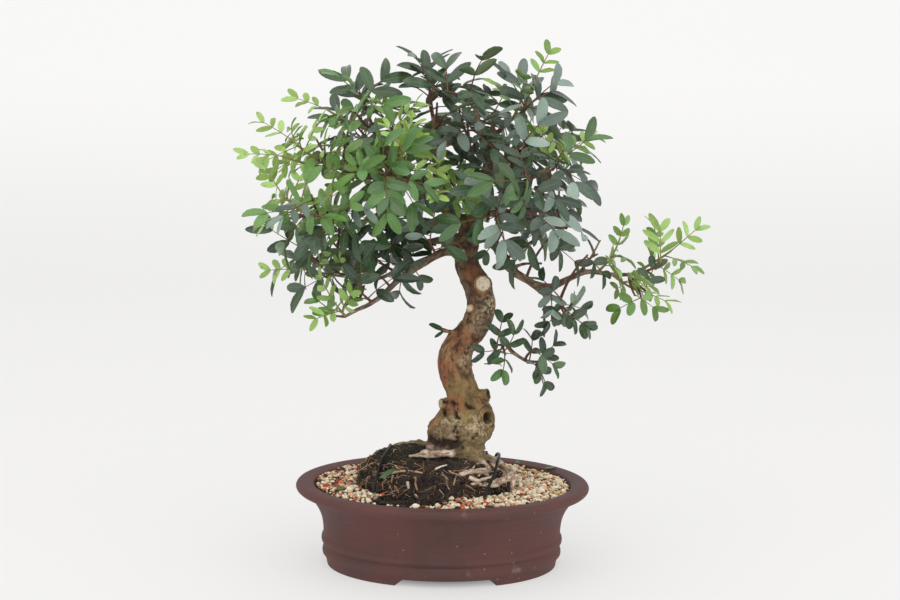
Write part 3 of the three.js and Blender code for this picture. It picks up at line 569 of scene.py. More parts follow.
def modified(bm, *steps):
    """A new bmesh: the given one after modifiers, each a type and its settings."""
    holder = object_from("working", bm)
    mesh = holder.data
    for number, (kind, settings) in enumerate(steps):
        modifier = holder.modifiers.new(f"step {number}", kind)
        for key, value in settings.items():
            setattr(modifier, key, value)
    bpy.context.view_layer.update()
    done = holder.evaluated_get(bpy.context.evaluated_depsgraph_get()).to_mesh()
    result = bmesh.new()
    result.from_mesh(done)
    bpy.data.objects.remove(holder)
    bpy.data.meshes.remove(mesh)
    return result


def paint(red, green, blue):
    """A colour as it is read off a screen, from 0 to 255, in the linear values that shaders use."""
    channels = [value / 255 for value in (red, green, blue)]
    return tuple(c / 12.92 if c < 0.04 else ((c + 0.055) / 1.055) ** 2.4 for c in channels) + (1.0,)


def put(tree, kind, sockets=None, **settings):
    """One node with its settings and its sockets, each given a value or joined to another node."""
    made = tree.nodes.new("ShaderNode" + kind)
    for name, value in settings.items():
        setattr(made, name, value)
    for name, value in (sockets or {}).items():
        if isinstance(value, bpy.types.NodeSocket):
            tree.links.new(value, made.inputs[name])
        else:
            made.inputs[name].default_value = value
    return made


def sums(tree, operation, first, second=0.0, third=0.0):
    return put(tree, "Math", {0: first, 1: second, 2: third}, operation=operation).outputs[0]


def times(tree, first, second):
    return sums(tree, "MULTIPLY", first, second)


def mixed(tree, share, first, second, mode="MIX"):
    made = put(tree, "Mix", {0: share, 6: first, 7: second}, data_type="RGBA", blend_type=mode)
    return made.outputs[2]


def ramp(tree, share, stops):
    """A colour for each share, from stops of place and colour."""
    made = put(tree, "ValToRGB", {"Fac": share})
    band = made.color_ramp
    band.interpolation = "LINEAR"
    while len(band.elements) < len(stops):
        band.elements.new(0.5)
    for element, (place, colour) in zip(band.elements, stops):
        element.position = place
        element.color = colour
    return made.outputs["Color"]


def window(tree, value, low, high):
    """How far a value has come from low to high, from 0 to 1 with soft ends."""
    made = put(tree, "MapRange", {"Value": value, "From Min": low, "From Max": high},
               interpolation_type="SMOOTHSTEP", clamp=True)
    return made.outputs["Result"]


def ranged(tree, value, low, high):
    """A value from 0 to 1 brought to another range."""
    return put(tree, "MapRange", {"Value": value, "To Min": low, "To Max": high}).outputs["Result"]


def part_of(tree, place, axis):
    return put(tree, "SeparateXYZ", {0: place}).outputs[axis]


def rough_noise(tree, place, scale, detail=3.0, roughness=0.55):
    sockets = {"Vector": place, "Scale": scale, "Detail": detail, "Roughness": roughness}
    return put(tree, "TexNoise", sockets).outputs["Fac"]


def position(tree):
    return put(tree, "TexCoord").outputs["Object"]


def stretched(tree, place, x, y, z):
    return put(tree, "Mapping", {"Vector": place, "Scale": (x, y, z)}).outputs["Vector"]


def value_of(tree, name):
    return put(tree, "Attribute", attribute_name=name).outputs["Fac"]


def vector_of(tree, name):
    return put(tree, "Attribute", attribute_name=name).outputs["Vector"]


def new_group(name, inputs, outputs):
    """An empty node group with named sockets; inputs are rows of name, kind and default."""
    tree = bpy.data.node_groups.new(name, "ShaderNodeTree")
    for title, kind, default in inputs:
        socket = tree.interface.new_socket(title, in_out="INPUT", socket_type="NodeSocket" + kind)
        if default is not None:
            socket.default_value = default
    for title, kind in outputs:
        tree.interface.new_socket(title, in_out="OUTPUT", socket_type="NodeSocket" + kind)
    return tree, tree.nodes.new("NodeGroupInput").outputs, tree.nodes.new("NodeGroupOutput").inputs


def mottle_group():
    """Two colours in soft patches, with a finer grain over them."""
    tree, given, out = new_group(
        "Mottle",
        [("Vector", "Vector", None), ("Dark", "Color", (0.1, 0.1, 0.1, 1)),
         ("Light", "Color", (0.5, 0.5, 0.5, 1)), ("Patch", "Float", 20.0), ("Grain", "Float", 400.0),
         ("Grain Share", "Float", 0.3)],
        [("Color", "Color"), ("Value", "Float")],
    )
    patch = rough_noise(tree, given["Vector"], given["Patch"], 4, 0.6)
    grain = rough_noise(tree, given["Vector"], given["Grain"], 2, 0.6)
    even = sums(tree, "SUBTRACT", grain, 0.5)
    spread = sums(tree, "MULTIPLY_ADD", even, given["Grain Share"], patch)
    share = window(tree, spread, 0.3, 0.7)
    tree.links.new(mixed(tree, share, given["Dark"], given["Light"]), out["Color"])
    tree.links.new(share, out["Value"])
    return tree


def speck_group():
    """Small round specks, as many of them as the amount asks."""
    tree, given, out = new_group(
        "Specks",
        [("Vector", "Vector", None), ("Scale", "Float", 300.0), ("Amount", "Float", 0.1),
         ("Size", "Float", 0.3)],
        [("Mask", "Float")],
    )
    cells = put(tree, "TexVoronoi", {"Vector": given["Vector"], "Scale": given["Scale"]})
    dot = sums(tree, "LESS_THAN", cells.outputs["Distance"], given["Size"])
    pick = put(tree, "SeparateColor", {"Color": cells.outputs["Color"]}).outputs["Red"]
    chosen = sums(tree, "LESS_THAN", pick, given["Amount"])
    tree.links.new(times(tree, dot, chosen), out["Mask"])
    return tree


def relief_group():
    """A height from 0 to 1 out of coarse and fine roughness."""
    tree, given, out = new_group(
        "Relief",
        [("Vector", "Vector", None), ("Coarse", "Float", 60.0), ("Fine", "Float", 500.0),
         ("Fine Share", "Float", 0.4)],
        [("Height", "Float")],
    )
    coarse = rough_noise(tree, given["Vector"], given["Coarse"], 4, 0.6)
    fine = rough_noise(tree, given["Vector"], given["Fine"], 3, 0.6)
    made = put(tree, "Mix", {0: given["Fine Share"], 2: coarse, 3: fine}, data_type="FLOAT")
    tree.links.new(made.outputs[0], out["Height"])
    return tree


GROUPS = {}


def group(tree, name, sockets):
    """Places a shared effect in a material, building it when it is first asked for."""
    makers = {"Mottle": mottle_group, "Specks": speck_group, "Relief": relief_group}
    if name not in GROUPS:
        GROUPS[name] = makers[name]()
    return put(tree, "Group", sockets, node_tree=GROUPS[name]).outputs


def socket_name(title):
    return title.replace("_", " ").title().replace("Ior", "IOR")


class Finish:
    """A material with one main shader."""

    def __init__(self, name, **shader):
        self.material = bpy.data.materials.new(name)
        self.material.use_nodes = True
        self.tree = self.material.node_tree
        self.tree.nodes.clear()
        self.shader = put(self.tree, "BsdfPrincipled")
        out = put(self.tree, "OutputMaterial")
        self.tree.links.new(self.shader.outputs["BSDF"], out.inputs["Surface"])
        for title, value in shader.items():
            self.shader.inputs[socket_name(title)].default_value = value

    def feed(self, **sockets):
        for title, socket in sockets.items():
            self.tree.links.new(socket, self.shader.inputs[socket_name(title)])

    def bump(self, height, depth, strength=1.0):
        """Relief of the given depth in metres."""
        made = put(self.tree, "Bump", {"Height": height, "Distance": depth, "Strength": strength})
        self.tree.links.new(made.outputs["Normal"], self.shader.inputs["Normal"])

    def fine_bumps(self, scale, depth, strength, detail=2):
        self.bump(rough_noise(self.tree, position(self.tree), scale, detail), depth, strength)


# Faint dust marks on the front of the pot: how far right, how high, and how wide
DUST_MARKS = [(55, 27, 1.5), (61, 13, 4), (19, 11.5, 2), (13, 70, 3), (50, 63, 2), (58, 19, 1)]


def clay_finish(settings):
    """Matt unglazed clay, with paler patches, fine lines from the wheel and a little dust."""
    finish = Finish("red clay", roughness=0.72)
    tree = finish.tree
    place = position(tree)
    colour = mottle(tree, settings.clay_dark, settings.clay_light, 16, 900, 0.55)
    rings = rough_noise(tree, stretched(tree, place, 8, 8, 700), 1.0, 2)
    lined = mixed(tree, times(tree, window(tree, rings, 0.52, 0.7), 0.06), colour["Color"],
                  paint(146, 102, 96))
    specks = group(tree, "Specks", {"Vector": place, "Scale": 420.0, "Amount": settings.dust, "Size": 0.2})
    dusty = mixed(tree, times(tree, specks["Mask"], 0.55), lined, paint(205, 196, 186))
    marks = None
    for x, z, size in DUST_MARKS:
        spot = POT_MIDDLE + Vector((x, 0, z)) * MM
        apart = put(tree, "VectorMath", {0: stretched(tree, place, 1, 0.0, 1), 1: (spot.x, 0, spot.z)},
                    operation="DISTANCE").outputs["Value"]
        frayed = sums(tree, "MULTIPLY_ADD", rough_noise(tree, place, 160, 4, 0.7), 0.016, apart)
        near = sums(tree, "SUBTRACT", 1.0, window(tree, frayed, size * MM + 0.002, size * MM + 0.009))
        marks = near if marks is None else sums(tree, "MAXIMUM", marks, near)
    front = window(tree, part_of(tree, place, "Y"), 0.0, -0.05)
    smeared = mixed(tree, times(tree, times(tree, marks, front), 0.26), dusty, paint(190, 178, 168))
    finish.feed(base_color=smeared, roughness=ranged(tree, colour["Value"], 0.62, 0.82))
    finish.bump(relief(tree, 90, 1200, 0.5), 0.0006, 0.5)
    return finish.material


def mottle(tree, dark, light, patch, grain, grain_share):
    """Two colours in patches, with a finer grain: scales of both, and the grain's share."""
    return group(tree, "Mottle", {"Vector": position(tree), "Dark": dark, "Light": light,
                                  "Patch": patch, "Grain": grain, "Grain Share": grain_share})


def relief(tree, coarse, fine, fine_share):
    return group(tree, "Relief", {"Vector": position(tree), "Coarse": coarse, "Fine": fine,
                                  "Fine Share": fine_share})["Height"]


def bed_finish():
    finish = Finish("dark grit and painted shade between the stones", roughness=0.95)
    tree = finish.tree
    # The bed's dark mottle is partly the dark fine grit and partly painted shade in the gaps between the
    # stones
    finish.feed(base_color=mottle(tree, paint(38, 29, 24), paint(96, 78, 60), 160, 900, 0.8)["Color"])
    finish.bump(relief(tree, 220, 900, 0.5), 0.003, 0.9)
    return finish.material


def coat_finish(name, dark, light, patch, grain, share, bumps, strength, **shader):
    """A moulded or drawn plastic in two dark tones, with fine bumps."""
    finish = Finish(name, **shader)
    tree = finish.tree
    finish.feed(base_color=mottle(tree, dark, light, patch, grain, share)["Color"])
    finish.fine_bumps(bumps, 0.0002, strength)
    return finish.material


def stone_finish(settings):
    """Crushed stone: mostly cream, some grey, orange, brick red and dark brown."""
    finish = Finish("mixed grit stones", roughness=0.82)
    tree = finish.tree
    place = position(tree)
    kinds = ramp(tree, value_of(tree, "stone"), [
        (0.0, paint(46, 34, 30)), (0.1, paint(112, 70, 54)), (0.17, paint(172, 82, 58)),
        (0.24, paint(222, 102, 62)), (0.31, paint(214, 150, 98)), (0.4, paint(166, 146, 124)),
        (0.48, paint(214, 178, 130)), (0.56, settings.grit_colour), (0.82, paint(242, 229, 198)),
        (1.0, paint(252, 244, 226)),
    ])
    grain = rough_noise(tree, place, 700, 4, 0.65)
    dusty = mixed(tree, times(tree, window(tree, grain, 0.45, 0.8), 0.4), kinds,
                  paint(150, 112, 84), "MULTIPLY")
    finish.feed(base_color=dusty)
    finish.fine_bumps(1100, 0.0006, 0.7, 3)
    return finish.material


def soil_finish():
    """Old dark soil, reddish where it has dried, mossy green on the shaded side."""
    finish = Finish("old root soil", roughness=0.96)
    tree = finish.tree
    place = position(tree)
    colour = mottle(tree, paint(20, 16, 14), paint(70, 58, 50), 90, 600, 0.9)
    crumbs = window(tree, rough_noise(tree, place, 330), 0.6, 0.72)
    reddish = mixed(tree, times(tree, crumbs, 0.5), colour["Color"], paint(126, 94, 72))
    green = times(tree, value_of(tree, "moss"), window(tree, rough_noise(tree, place, 130), 0.35, 0.6))
    mossy = mixed(tree, times(tree, green, 0.5), reddish, paint(42, 46, 28))
    finish.feed(base_color=mossy)
    finish.bump(relief(tree, 260, 1100, 0.4), 0.003)
    return finish.material


def rootlet_finish():
    finish = Finish("fine roots", roughness=0.75)
    tree = finish.tree
    colours = ramp(tree, value_of(tree, "tone"), [
        (0.0, paint(62, 48, 38)), (0.3, paint(112, 84, 62)), (0.55, paint(168, 128, 92)),
        (0.8, paint(206, 178, 148)), (1.0, paint(234, 214, 196)),
    ])
    shade = rough_noise(tree, position(tree), 260, 3)
    finish.feed(base_color=mixed(tree, times(tree, window(tree, shade, 0.4, 0.7), 0.3), colours,
                                 paint(132, 98, 84), "MULTIPLY"))
    finish.fine_bumps(1500, 0.0003, 0.6)
    return finish.material


def moss_finish():
    finish = Finish("moss", roughness=0.85)
    tree = finish.tree
    colours = ramp(tree, value_of(tree, "tone"), [
        (0.0, paint(30, 36, 20)), (0.5, paint(58, 68, 36)), (1.0, paint(104, 112, 64))])
    shade = times(tree, rough_noise(tree, position(tree), 150), 0.6)
    finish.feed(base_color=mixed(tree, shade, colours, paint(96, 84, 50), "MULTIPLY"))
    return finish.material


def bark_finish(settings):
    """Rough grey-brown bark: flaky and red-brown at the base, olive in the bend, greyer on the thin wood."""
    finish = Finish("pistachio bark", roughness=0.86)
    tree = finish.tree
    place, grain = position(tree), vector_of(tree, "grain")
    height = part_of(tree, place, "Z")
    thick = window(tree, value_of(tree, "girth"), 1.5, 9.0)
    fibres = rough_noise(tree, stretched(tree, grain, 1, 1, 0.45), 520, 5, 0.7)
    flakes = rough_noise(tree, stretched(tree, grain, 1, 1, 0.6), 190, 4, 0.6)
    zones = rough_noise(tree, place, 42, 3)
    cracks = window(tree, rough_noise(tree, stretched(tree, grain, 1, 1, 0.7), 260, 5, 0.75), 0.42, 0.35)
    fine = rough_noise(tree, place, 1500, 2, 0.7)
    old = mixed(tree, window(tree, flakes, 0.36, 0.64), settings.bark_dark, settings.bark_light)
    thin = mixed(tree, window(tree, flakes, 0.36, 0.64), paint(92, 72, 60), paint(158, 134, 112))
    wood = mixed(tree, thick, thin, old)
    # Painted shade: the thick wood is darkened high up, under the crown
    high = times(tree, window(tree, height, 0.195, 0.25), thick)
    crown_shaded = mixed(tree, times(tree, high, 0.55), wood, paint(66, 48, 38))
    olive = times(tree, window(tree, height, 0.185, 0.155), window(tree, zones, 0.34, 0.56))
    green = mixed(tree, times(tree, olive, 0.6), crown_shaded, paint(142, 124, 70))
    warm = times(tree, value_of(tree, "flush"), window(tree, flakes, 0.25, 0.6))
    flushed = mixed(tree, times(tree, warm, 0.85), green, paint(158, 88, 56))
    scales = window(tree, rough_noise(tree, place, 330, 5, 0.7), 0.47, 0.56)
    pale = times(tree, scales, times(tree, value_of(tree, "speckle"), thick))
    speckled = mixed(tree, times(tree, pale, 0.75), flushed, paint(222, 206, 170))
    strips = rough_noise(tree, stretched(tree, grain, 1, 1, 0.5), 300, 4)
    peeled = mixed(tree, window(tree, strips, 0.4, 0.62), paint(160, 128, 104), paint(242, 226, 208))
    bared = mixed(tree, times(tree, value_of(tree, "bare"), 0.9), speckled, peeled)
    # Painted shade, partly real: the bark is darkened in its pits, where the relief is lowest, and in its
    # cracks, as shade in the furrows and the darker bark inside them
    pits = times(tree, window(tree, fibres, 0.48, 0.33), 0.66)
    pitted = mixed(tree, sums(tree, "MAXIMUM", pits, times(tree, cracks, thick)), bared,
                   paint(44, 30, 23))
    light = times(tree, window(tree, fine, 0.55, 0.72), 0.4)
    grained = mixed(tree, light, pitted, paint(196, 176, 146))
    callused = mixed(tree, times(tree, value_of(tree, "callus"), window(tree, flakes, 0.2, 0.6)),
                     grained, paint(176, 116, 66))
    spots = times(tree, window(tree, rough_noise(tree, place, 420, 3, 0.6), 0.54, 0.64), 0.7)
    sawn = mixed(tree, spots, paint(240, 226, 200), paint(158, 140, 116))
    cut = mixed(tree, value_of(tree, "cut"), callused, sawn)
    # Painted shade: near black where the crevices and the hollow sink and on the rings round the hollow; the
    # same colour darkens the old ends of some stubs
    hollow = mixed(tree, value_of(tree, "dark"), cut, paint(34, 17, 12))
    mossy = mixed(tree, times(tree, value_of(tree, "moss"), olive), hollow, paint(86, 92, 44))
    finish.feed(base_color=mossy)
    ridges = sums(tree, "ADD", times(tree, fibres, 0.8), times(tree, flakes, 0.5))
    finish.bump(sums(tree, "MULTIPLY_ADD", fine, 0.3, ridges), 0.0018, 0.9)
    return finish.material


def leaf_finish(settings, under=False):
    """Leathery leaflets: the colour comes from their age, with a pale rib, faint veins and a few spots."""
    finish = Finish("leaf underside" if under else "leaf surface", roughness=0.5 if under else 0.28,
                    specular_ior_level=0.4 if under else 0.7)
    tree = finish.tree
    place, tone = position(tree), value_of(tree, "tone")
    # The colour at age 0 is painted sheen: a pale bluish tone that stands in for the leaves' reflections
    ages = [(0.0, settings.leaf_painted_sheen), (0.07, settings.leaf_old), (0.3, settings.leaf_mature),
            (0.52, paint(82, 130, 54)), (0.72, settings.leaf_fresh), (0.9, settings.leaf_lime)]
    base = ramp(tree, value_of(tree, "age"), ages)
    varied = put(tree, "HueSaturation", {
        "Color": base,
        "Hue": ranged(tree, tone, 0.495, 0.51),
        "Saturation": ranged(tree, tone, 1.1, 0.86),
        "Value": ranged(tree, tone, 0.62, 1.34),
    }).outputs["Color"]
    flat = put(tree, "SeparateXYZ", {0: put(tree, "UVMap").outputs["UV"]}).outputs
    off = sums(tree, "ABSOLUTE", sums(tree, "SUBTRACT", flat["Y"], 0.5))
    rib = window(tree, off, 0.045, 0.012)
    slant = sums(tree, "MULTIPLY_ADD", off, -0.9, flat["X"])
    wave = sums(tree, "SINE", times(tree, slant, 46.0))
    veins = times(tree, window(tree, wave, 0.82, 1.0), 0.45)
    lines = sums(tree, "MAXIMUM", rib, veins)
    pale = mixed(tree, 0.5, varied, paint(176, 192, 120))
    ribbed = mixed(tree, times(tree, lines, 0.34 if under else 0.42), varied, pale)
    patches = window(tree, rough_noise(tree, place, 130, 3), 0.35, 0.75)
    blotched = mixed(tree, times(tree, patches, 0.2), ribbed, paint(150, 172, 130), "MULTIPLY")
    spots = group(tree, "Specks", {"Vector": place, "Scale": 240.0, "Amount": 0.035, "Size": 0.34})
    spotted = mixed(tree, times(tree, spots["Mask"], 0.5), blotched, paint(120, 86, 40))
    dry = times(tree, window(tree, tone, 0.93, 0.98), window(tree, flat["X"], 0.55, 0.95))
    tipped = mixed(tree, times(tree, dry, 0.8), spotted, paint(150, 84, 44))
    colour = mixed(tree, 0.34, tipped, paint(150, 170, 120)) if under else tipped
    finish.feed(base_color=colour)
    if not under:
        finish.feed(roughness=ranged(tree, patches, 0.22, 0.4))
    finish.bump(lines, -0.0004 if under else 0.0003, 0.5)
    return finish.material


def stalk_finish():
    """Leaf stalks and young twigs: green where the leaves are fresh, red-brown where they are old."""
    finish = Finish("stalk and twig", roughness=0.6)
    tree = finish.tree
    colours = ramp(tree, value_of(tree, "age"), [
        (0.0, paint(92, 60, 46)), (0.3, paint(112, 74, 54)), (0.6, paint(120, 110, 58)),
        (0.9, paint(150, 150, 84))])
    shade = rough_noise(tree, position(tree), 300, 3)
    finish.feed(base_color=mixed(tree, times(tree, shade, 0.4), colours, paint(110, 74, 60),
                                 "MULTIPLY"))
    finish.fine_bumps(1600, 0.0002, 0.5)
    return finish.material


def paper_finish(settings):
    """Paper that glows though it is no lamp, painted light, brighter where it rises; its glow ends round the
    pot, which so keeps its shadow.
    """
    finish = Finish("studio paper with painted glow", base_color=settings.paper, roughness=0.9,
                    emission_color=(1, 1, 1, 1))
    tree = finish.tree
    away = put(tree, "VectorMath", {0: stretched(tree, position(tree), 1, 1.2, 0),
                                    1: tuple(POT_MIDDLE)}, operation="DISTANCE").outputs["Value"]
    rise = window(tree, part_of(tree, position(tree), "Z"), -0.05, 0.4)
    rising = sums(tree, "MULTIPLY_ADD", rise, 0.11, settings.glow)
    finish.feed(emission_strength=times(tree, window(tree, away, 0.055, 0.112), rising))
    finish.fine_bumps(60, 0.0002, 0.15)
    return finish.material


MADE = {}


def finish_of(name):
    """A finish of this scene by its name, made when a piece first needs it."""
    scene = bpy.context.scene
    makers = {
        "clay": lambda: clay_finish(scene.bonsai_pot),
        "bed": bed_finish,
        "stone": lambda: stone_finish(scene.bonsai_pot),
        "soil": soil_finish,
        "rootlet": rootlet_finish,
        "moss": moss_finish,
        "bark": lambda: bark_finish(scene.bonsai_tree),
        "coat": lambda: coat_finish("black wire coat", paint(13, 13, 14), paint(32, 31, 31), 120, 900, 0.4,
                                    1400, 0.4, roughness=0.5, specular_ior_level=0.3),
        "screen": lambda: coat_finish("moulded screen plastic", paint(24, 25, 25), paint(42, 44, 43), 200,
                                      1500, 0.5, 2000, 0.5, roughness=0.55),
        "leaf": lambda: leaf_finish(scene.bonsai_leaves),
        "leaf_under": lambda: leaf_finish(scene.bonsai_leaves, under=True),
        "stalk": stalk_finish,
        "paper": lambda: paper_finish(scene.bonsai_stage),
    }
    if name not in MADE:
        MADE[name] = makers[name]()
    return MADE[name]


def oval_spot(spot):
    """Where a point of a round pot lies on the oval one."""
    reach = math.hypot(spot.x, spot.y)
    if reach < 1e-6:
        return spot
    narrowing = OVAL_NARROWING * min(1, reach / OVAL_CORE)
    return Vector((spot.x, spot.y * (reach - narrowing) / reach, spot.z))


def pot_profile(steps):
    """Half the section of the pot, from under the middle, round the foot and the rim, to the inner floor."""
    wall = Line([(reach, 0, z) for reach, z in [(FOOT_HALF_LENGTH, 0), *POT_WALL, *POT_INSIDE]])
    count = (len(wall.points) - 1) * steps
    curved = [wall.at(step / count) for step in range(count + 1)]
    under = [(0, 0, FOOT_HEIGHT), (FOOT_INNER - 1, 0, FOOT_HEIGHT), (FOOT_INNER, 0, 0)]
    return [*under, *curved, (0, 0, FLOOR_TOP)]


# How fine the pot is: steps between two points of its section, and segments all round
SECTION_STEPS = 3
POT_SEGMENTS = 160


def turned_pot():
    bm = new_bmesh()
    ring = [bm.verts.new(spot) for spot in pot_profile(SECTION_STEPS)]
    edges = [bm.edges.new(pair) for pair in zip(ring, ring[1:])]
    bmesh.ops.spin(bm, geom=ring + edges, cent=(0, 0, 0), axis=(0, 0, 1), angle=2 * math.pi,
                   steps=POT_SEGMENTS, use_merge=True)
    bmesh.ops.remove_doubles(bm, verts=bm.verts, dist=1e-3)
    for vert in bm.verts:
        vert.co = oval_spot(vert.co)
    bmesh.ops.recalc_face_normals(bm, faces=bm.faces)
    return bm


def cutter(bm, name):
    """A helper that a Boolean modifier cuts with."""
    bmesh.ops.recalc_face_normals(bm, faces=bm.faces)
    return object_from(name, bm)


def passage_cutter():
    """The sloped opening between the two feet, from front to back."""
    bm = bmesh.new()
    made = bmesh.ops.create_cube(bm, size=2)["verts"]
    for vert in made:
        low = vert.co.z < 0
        half = NOTCH_HALF_BOTTOM + 1 if low else NOTCH_HALF_TOP
        vert.co = Vector((vert.co.x * half, vert.co.y * 140, -1 if low else FOOT_HEIGHT + 0.01))
    return cutter(bm, "passage")


def drain_cutter():
    bm = bmesh.new()
    for side in (-1, 1):
        made = bmesh.ops.create_cone(bm, cap_ends=True, segments=32, radius1=DRAIN_RADIUS,
                                     radius2=DRAIN_RADIUS, depth=30)["verts"]
        bmesh.ops.translate(bm, verts=made, vec=(side * DRAIN_OFFSET, 0, 8))
    return cutter(bm, "drains")


class BONSAI_OT_pot(bpy.types.Operator):
    """Turns the oval clay pot, with its rolled rim, two soft bands, feet and drain holes"""

    bl_idname = "bonsai.pot"
    bl_label = "Clay pot"

    def execute(self, context):
        settings = context.scene.bonsai_pot
        helpers = [passage_cutter(), drain_cutter()]
        steps = [("BOOLEAN", {"operation": "DIFFERENCE", "solver": "EXACT", "object": helper})
                 for helper in helpers]
        bevel = ("BEVEL", {"width": settings.edge * 1000, "segments": 3, "limit_method": "ANGLE",
                           "angle_limit": math.radians(38), "harden_normals": False})
        bm = modified(turned_pot(), *steps, bevel)
        for helper in helpers:
            bpy.data.objects.remove(helper)
        bmesh.ops.remove_doubles(bm, verts=bm.verts, dist=1e-3)
        shade_smooth(bm)
        piece = make_piece("clay_pot", bm, [finish_of("clay")], ["pot"])
        piece.data.set_sharp_from_angle(angle=math.radians(40))
        return {"FINISHED"}


def ball_power(x, y, grow):
    """Below 1 inside the outline of the root ball, seen from above."""
    middle, half = BALL["middle"], BALL["half"]
    across = abs((x - middle.x) / (half.x + grow)) ** BALL["power"]
    return across + abs((y - middle.y) / (half.y + grow)) ** BALL["power"]


def in_oval(x, y, reach):
    return (x / reach) ** 2 + (y / (reach - OVAL_NARROWING)) ** 2 < 1


def spilled(x, y):
    """Below 1 where soil has spilled over the grit in front."""
    middle, half = SPILL["middle"], SPILL["half"]
    return ((x - middle[0]) / half[0]) ** 2 + ((y - middle[1]) / half[1]) ** 2


# How wide the squares are in which laid stones are looked up, how near two may lie for their sizes, and
# how many tries there are for each
STONE_CELL = 8
STONE_OVERLAP = 0.36
STONE_TRIES = 40
# Least and largest size of the larger and of the small stones, and how much higher they lie
LARGE_STONES = (4.2, 7.8, 0.2)
SMALL_STONES = (2.2, 4.2, 1.4)


def stone_kind(x, draw):
    """Which stone lies there: red and dark ones mostly at the left, cream ones at the right."""
    share = clamped((x + 110) / 220)
    if draw() < 0.42 - 0.28 * share:
        return draw() * 0.38
    return 0.4 + draw() * 0.6


def lies_outside(x, y, size):
    """Whether a stone would lie in the pot's wall or in the root ball."""
    return not in_oval(x, y, GRIT_REACH - size / 2 - 0.6) or ball_power(x, y, size * 0.25) < 1


def cell_of(x, y):
    return int(x // STONE_CELL), int(y // STONE_CELL)


def touches_other(laid, x, y, size):
    """Whether a stone would lie too deep in one that is laid already."""
    i, j = cell_of(x, y)
    near = [spot for a in (-1, 0, 1) for b in (-1, 0, 1) for spot in laid[i + a, j + b]]
    return any(math.hypot(x - u, y - v) < STONE_OVERLAP * (size + other) for u, v, other in near)


class BONSAI_OT_grit(bpy.types.Operator):
    """Lays the stones and small grit on the bed round the root ball"""

    bl_idname = "bonsai.grit"
    bl_label = "Grit"

    def execute(self, context):
        settings = context.scene.bonsai_pot
        draw = random.Random(settings.seed).random
        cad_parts["grit_bed"].data.materials.clear()
        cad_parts["grit_bed"].data.materials.append(finish_of("bed"))
        bm, tray = new_bmesh("stone"), new_bmesh("stone")
        laid = defaultdict(list)
        plan = [(settings.stones, *LARGE_STONES), (settings.small_stones, *SMALL_STONES)]
        for count, least, most, lift in plan:
            placed, tries = 0, 0
            while placed < count and tries < STONE_TRIES * count:
                tries += 1
                x, y = (draw() * 2 - 1) * GRIT_REACH, (draw() * 2 - 1) * GRIT_REACH
                size = least + (most - least) * draw() ** 1.5
                if lies_outside(x, y, size) or spilled(x, y) < 1 - 0.3 * draw():
                    continue
                if touches_other(laid, x, y, size):
                    continue
                laid[cell_of(x, y)].append((x, y, size))
                kind = stone_kind(x, draw)
                shape = Vector((size, size * (0.62 + 0.3 * draw()), size * (0.5 + 0.25 * draw())))
                low = GRIT_LEVEL - 0.3 + lift + draw() * 2.2 - 1.6 * clamped((x - 20) / 90)
                spin = any_turn(draw, 0.7)
                made = add_pebble(tray, Vector((x, y, low + shape.z * 0.25)), shape, spin, 0.55, draw,
                                  smooth=kind > 0.4 and draw() < 0.5)
                give(tray, made, stone=kind)
                placed += 1
                if placed % TRAY == 0:
                    tray = pour(tray, bm, "stone")
        pour(tray, bm, "stone")
        make_piece("grit_stones", bm, [finish_of("stone")])
        return {"FINISHED"}


def ball_surface(direction, grow=0.0):
    """A point on the skin of the root ball in a direction from its middle."""
    norm = sum(abs(value) ** BALL["power"] for value in direction)
    spot = direction * norm ** (-1 / BALL["power"])
    half = BALL["half"]
    spot = Vector((spot.x * (half.x + grow), spot.y * (half.y + grow), spot.z * (half.z + grow)))
    spot *= 1 + 0.03 * lumps(spot, 17) + 0.015 * lumps(spot, 7)
    spot.z -= BALL["tilt"] * spot.x
    return spot + BALL["middle"]


def moss_share(spot):
    """How mossy the root ball is: most at the top left."""
    near = 1 - (spot - Vector((-44, -20, 100))).length / 42
    far = 0.6 * (1 - (spot - Vector((-30, 26, 104))).length / 46)
    return clamped(max(near, far) * 1.6)


def crumbled(spot):
    """The skin of the root ball with its clods and crumbs."""
    away = (spot - BALL["middle"]).normalized()
    clod = noise.noise(spot / 10.0)
    lump = noise.noise(spot / 4.4 + Vector((4, 9, 2)))
    crumb = noise.noise(spot / 2.1 + Vector((7, 3, 1)))
    return spot + away * (2.4 * clod + 2.2 * lump + 1.3 * crumb)


def front_of_ball(across, height):
    """The point of the crumbled front side that lies at a place across and a height."""
    middle, half = BALL["middle"], BALL["half"]
    x = (across - middle.x) / half.x
    z = (height - middle.z + BALL["tilt"] * across) / half.z
    left = max(0.02, 1 - abs(x) ** BALL["power"] - abs(z) ** BALL["power"])
    return crumbled(ball_surface(Vector((x, -left ** (1 / BALL["power"]), z))))


# How fine the root ball is: each step above 1 splits its faces in four
BALL_FINENESS = 7


